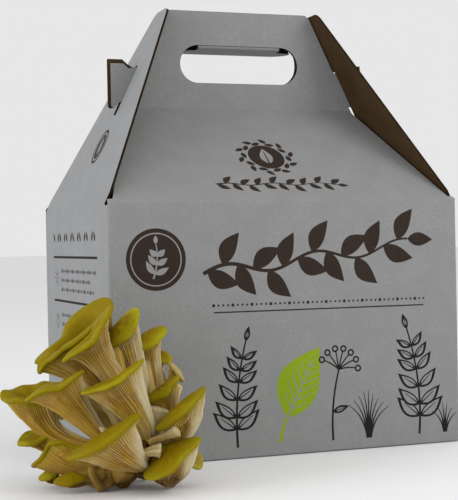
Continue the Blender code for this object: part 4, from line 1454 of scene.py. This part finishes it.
def make_stem(fruit, material, rng):
    """Stem and gills: the crests of the gills follow the solid's surface, and the grooves lie under it."""
    gills = 4 * max(8, round(2 * math.pi * fruit.size / GILL_PITCH / 4))
    sides = GILL_SAMPLES * gills
    rows = LARGE_STEM_ROWS if fruit.large else STEM_ROWS
    stops = [1 - (1 - k / (rows - 1)) ** 1.5 for k in range(rows)]
    stations = stations_of(fruit, stops)
    flare = np.array([station.flare for station in stations])
    angles = round_angles(sides)
    drift = random_waves(rng, angles, 2, 9) * 0.035
    lean = random_waves(rng, angles, 1, 5) * 0.10
    turns = [angles + drift + lean * (1 - station.flare) * (1 - station.t) for station in stations]
    rings = pressed_rings(fruit, stations, turns)
    normals = ring_normals(rings)
    out = rings - np.array([station.place for station in stations])[:, None]
    spread = np.linalg.norm(out, axis=2)

    # Gills, uneven from place to place, and closed up where they are faint
    pale = pale_flank(fruit, out, flare, random_waves(rng, angles, 3, 6) * 0.12)
    ridges = gill_ridges(rng, gills, sides, flare)
    uneven = np.array([noise.noise(Vector(p) / 5) for p in rings.reshape(-1, 3)]).reshape(rows, sides)
    ridges = ridges * np.clip(0.92 + 0.5 * uneven, 0.35, 1)
    ridges = ridges + (1 - ridges) * fruit.faint
    strength = 0.2 + 0.8 * smooth_step(flare, 0.03, 0.4)
    depth = np.minimum(GILL_DEPTH * strength[:, None] * (1 - 0.7 * pale), spread * 0.22)
    rings = rings - normals * (depth * (1 - ridges))[..., None]

    # Creases, where the stem is narrow
    folds = stem_folds(fruit, stops, angles)
    narrow = smooth_step(1 - flare, 0.02, 0.5)[:, None]
    inward = np.maximum(np.minimum(0, folds - 0.25) * 2.2 * narrow, -0.3 * spread)
    rings = rings + normals * inward[..., None]

    rings = np.concatenate([rings, rings_in_cap(fruit, angles + drift)])
    ends = [tuple(fruit.root - spine_lead(fruit) * fruit.stem[0]), tuple(rings[-1].mean(0))]

    def extended(values):
        """Values of the stem's rings, and the last of them again for those inside the cap."""
        values = np.broadcast_to(values, (rows, sides))
        return np.concatenate([values, np.repeat(values[-1:], len(rings) - rows, 0)])

    # Painted shade: the flesh darkens towards the cluster's core and in the stem's creases, besides its own
    # browning
    crease_shade = extended(smooth_step(-folds, -0.1, 0.5) * narrow)
    deep = depth_in_cluster(rings) * 0.4 + 0.4 * crease_shade + fruit.rust_and_shade
    plain = smooth_step(1 - flare, 0.5, 0.95)[:, None]
    attributes = {
        "gill": extended(ridges + (1 - ridges) * plain * 0.75),
        "flare": extended(flare[:, None]),
        "pale": extended(pale),
        "tone": extended(np.clip(0.5 + random_waves(rng, angles, 5, 14) * 0.5, 0, 1)),
        "deep": np.clip(deep, 0, 1),
    }
    grid_piece(fruit.name + "_stem", rings, ends, material, attributes, "stem_" + fruit.name)


def make_cap(fruit, material, rng):
    """A thin funnel with a margin that rolls under, a little uneven as it grew."""
    sides = LARGE_CAP_SIDES if fruit.large else CAP_SIDES
    angles = round_angles(sides)
    rim, height = rim_at(fruit, angles)
    curl = margin(fruit, angles)
    dents = random_waves(rng, angles, 3, 6)
    fibres = random_waves(rng, angles, 14, 30)
    inner = rim - curl
    brow = math.atan2(2 * fruit.crown, fruit.size)  # slope of the top where the margin starts
    join = inner + curl * math.sin(brow)
    level = height - curl + curl * math.cos(brow)
    rings, edge, under = [], [], []

    # The top, from its middle outwards
    for share in np.linspace(0.05, 0.97, TOP_RINGS):
        hollow = 0.35 * (1 + dents) * share * (1 - share) * 4 + 0.12 * (1 + fibres) * share * (1 - share**4)
        rings.append(funnel_ring(fruit, share, join * share, angles, level, hollow))
        edge.append(share * 0.9)
        under.append(0.0)

    # The margin, round its roll
    for psi in np.linspace(math.pi / 2 - brow, math.radians(MARGIN_END), MARGIN_RINGS):
        radius = inner + curl * math.cos(psi)
        level = height - curl + curl * math.sin(psi)
        shifts = (radius * np.cos(angles), radius * np.sin(angles), level)
        rings.append(laid_out(fruit.rim, cap_axes(fruit), shifts))
        edge.append(0.9 + 0.1 * math.cos(psi))
        under.append(float(smooth_step(-psi, 0.2, 1.4)) * 0.85)

    # The underside, back inwards
    for share in (0.9, *THROAT_SHARES):
        rings.append(funnel_ring(fruit, share, (inner - curl * 0.5) * share, angles, height, CAP_SHEET))
        edge.append(0.5)
        under.append(1.0)

    rings = np.array(rings[::-1])
    ends = [tuple(rings[0].mean(0)), tuple(rings[-1].mean(0))]
    shape = rings.shape[:2]
    edge = np.broadcast_to(np.array(edge[::-1])[:, None], shape)
    streaks = np.clip(0.5 + random_waves(rng, angles, 6, 12) * 0.6, 0, 1)
    attributes = {
        # edge runs from the throat to the margin; by it the material paints shade in the hollow and a
        # highlight on the margin
        "edge": edge,
        "under": np.broadcast_to(np.array(under[::-1])[:, None], shape),
        "tone": streaks * smooth_step(1 - edge, 0.0, 0.5),
        # deep: painted shade of caps that lie low or under others, and their browning
        "deep": np.full(shape, max(fruit.rust_and_shade, fruit.cap_shade)),
        "bleach": np.full(shape, fruit.bleach),
    }
    grid_piece(fruit.name + "_cap", rings, ends, material, attributes, "cap_" + fruit.name)


def make_sprout(sprout, material, rng):
    """A stem that swells or narrows along its run, with shallow ribs and a rounded head."""
    angles = round_angles(SPROUT_SIDES)
    start, middle, end = sprout.run
    foot, waist, head = sprout.radii
    round_from = 0.93 if head > waist else 0.84
    along = (middle - start).normalized()
    across = along.orthogonal().normalized()
    ribs = random_waves(rng, angles, 5, 7)
    oval_share = 1 + 0.12 * np.cos(2 * angles + rng.uniform(0, 6))
    stops = [1 - (1 - k / (SPROUT_ROWS - 1)) ** 1.3 for k in range(SPROUT_ROWS)]
    rings = []
    for t in stops:
        s = 1 - t
        place = start * s * s + middle * 2 * s * t + end * t * t
        tangent = ((middle - start) * s + (end - middle) * t).normalized()
        across = along.rotation_difference(tangent) @ across
        along = tangent
        radius = foot * s * s + waist * 2 * s * t + head * t * t
        radius *= math.sqrt(max(0.02, 1 - max(0.0, (t - round_from) / (1 - round_from)) ** 2))
        size = radius * oval_share * (1 + 0.035 * ribs) + noise.noise(place / 9) * 0.7
        ways = (across, along.cross(across))
        rings.append(laid_out(place, ways, (size * np.cos(angles), size * np.sin(angles))))
    rings = np.array(rings)
    rings[..., 2] = np.maximum(rings[..., 2], OVER_FLOOR)
    run = np.repeat(np.array(stops)[:, None], SPROUT_SIDES, 1)
    attributes = {
        "gill": np.broadcast_to(np.clip(0.75 + 0.35 * ribs, 0, 1), run.shape),
        "flare": 0.85 + 0.15 * smooth_step(run, 0.72, 0.85) * sprout.head,
        "pale": (1 - sprout.rust_and_shade) * (0.25 + 0.6 * smooth_step(run, 0.3, 1.0)),
        "tone": np.broadcast_to(np.clip(0.5 + 0.5 * ribs, 0, 1), run.shape),
        # deep: painted shade inside the cluster, with the flesh's own browning
        "deep": np.clip(depth_in_cluster(rings) * 0.6 + sprout.rust_and_shade, 0, 1),
    }
    ends = [tuple(rings[0].mean(0)), tuple(rings[-1].mean(0) + np.array(along) * 0.3)]
    grid_piece("shoot_" + sprout.name, rings, ends, material, attributes)


# Foot

def gap_to(branches, points):
    """Distance from points to branches that run out from the core, with soft joints between them."""
    core = np.array(CORE)
    total = np.zeros(len(points))
    for end, radius in branches:
        axis = end - core
        share = np.clip((points - core) @ axis / (axis @ axis), 0, 1)
        near = np.linalg.norm(points - core - share[:, None] * axis, axis=1)
        total += np.exp(-(near - (CORE_RADIUS + (radius - CORE_RADIUS) * share)) / SOFT_JOINT)
    return -SOFT_JOINT * np.log(total + TINY)


def reach_of(branches, ways):
    """How far from the core the surface of the branches is, in each way."""
    inside, outside = np.zeros(len(ways)), np.full(len(ways), FOOT_LIMIT)
    for _ in range(HALVINGS):
        middle = (inside + outside) / 2
        within = gap_to(branches, np.array(CORE) + ways * middle[:, None]) < 0
        inside, outside = np.where(within, middle, inside), np.where(within, outside, middle)
    return inside


def make_foot(material):
    """The foot: branches run into each other from the core to every stem and to the floor."""
    branches = [(np.array(f.root + spine_lead(f) * 1.5), f.stem[0] * 1.02) for f in FRUITS]
    branches += [(np.array(end, float), radius) for end, radius in FLOOR_LOBES]
    mesh = bpy.data.meshes.new("foot_flesh_mesh")
    ball = bmesh.new()
    bmesh.ops.create_icosphere(ball, subdivisions=FOOT_DIVISIONS, radius=1.0)
    ball.to_mesh(mesh)
    ball.free()
    ways = np.array([v.co for v in mesh.vertices])
    ways /= np.linalg.norm(ways, axis=1, keepdims=True)

    reach = reach_of(branches, ways)
    points = np.array(CORE) + ways * reach[:, None]

    # Lumps and strands, which only cut into that surface
    lumps = np.array([noise.fractal(Vector(p) / 7, 1.0, 2.0, 4) for p in points])
    strands = np.array([noise.noise(Vector((w[0] * 9, w[1] * 9, w[2] * 3))) for w in ways])
    points = points + ways * np.minimum(0, lumps * 1.6 + strands - 0.7)[:, None]
    points[:, 2] = np.maximum(points[:, 2], 0.0)
    mesh.vertices.foreach_set("co", (points * MM).ravel())
    # hollow: painted shade where the surface dents in
    hollow = smooth_step(-(lumps + strands * 0.6), 0.05, 0.7)
    add_values(mesh, {"hollow": hollow, "pale": smooth_step(reach, 32, 55) * 0.8 * (1 - hollow)})
    mesh.materials.append(material)
    mesh.shade_smooth()
    placed("foot_flesh", mesh, "foot")


def make_cluster():
    cap_skin = make_cap_material()
    stem_flesh = make_stem_material()
    make_foot(make_foot_material())
    for number, fruit in enumerate(FRUITS):
        make_stem(fruit, stem_flesh, random.Random(SEED + number))
        make_cap(fruit, cap_skin, random.Random(SEED + 100 + number))
    for number, sprout in enumerate(SPROUTS):
        make_sprout(sprout, stem_flesh, random.Random(SEED + 200 + number))


# Stage

def make_stage():
    made, tree, shader = new_material("pale_floor", 0.9)
    shader.inputs["Base Color"].default_value = (0.86, 0.86, 0.86, 1.0)
    bpy.ops.mesh.primitive_plane_add(size=40)
    floor = bpy.context.object
    floor.name = "floor"
    floor.data.materials.append(made)
    world = bpy.data.worlds.new("studio")
    world.use_nodes = True
    world.node_tree.nodes["Background"].inputs["Color"].default_value = (1, 1, 1, 1)
    world.node_tree.nodes["Background"].inputs["Strength"].default_value = 0.8
    bpy.context.scene.world = world


def add_light(name, place, aim, size, power, colour):
    """A square light at a place, in metres, that shines towards its aim."""
    light = bpy.data.lights.new(name, "AREA")
    light.size = size
    light.energy = power
    light.color = colour
    made = bpy.data.objects.new(name, light)
    made.location = place
    made.rotation_euler = (Vector(aim) - Vector(place)).to_track_quat("-Z", "Y").to_euler()
    bpy.context.scene.collection.objects.link(made)


def make_lights():
    aim = (-0.03, -0.05, 0.15)
    add_light("left_light", (-2.4, -0.5, 0.6), aim, size=1.6, power=36, colour=(0.92, 0.95, 1.0))
    aim = (0.1, -0.05, 0.2)
    add_light("right_light", (0.75, -0.85, 0.75), aim, size=0.7, power=4.8, colour=(1.0, 0.99, 0.97))


def make_camera():
    lens = bpy.data.cameras.new("camera")
    lens.sensor_fit = "AUTO"
    lens.sensor_width = CAMERA_SENSOR
    lens.lens = CAMERA_LENS
    made = bpy.data.objects.new("camera", lens)
    turn, pitch, roll = (math.radians(v) for v in (CAMERA_TURN, CAMERA_PITCH, CAMERA_ROLL))
    facing = Matrix.Rotation(-turn, 3, "Z") @ Matrix.Rotation(math.pi / 2 + pitch, 3, "X")
    made.matrix_world = (facing @ Matrix.Rotation(-roll, 3, "Z")).to_4x4()
    made.location = Vector(CAMERA_PLACE) * MM
    bpy.context.scene.collection.objects.link(made)
    bpy.context.scene.camera = made


make_camera()
make_carton()
make_cluster()
make_stage()
make_lights()
bpy.context.scene.view_settings.view_transform = "Standard"
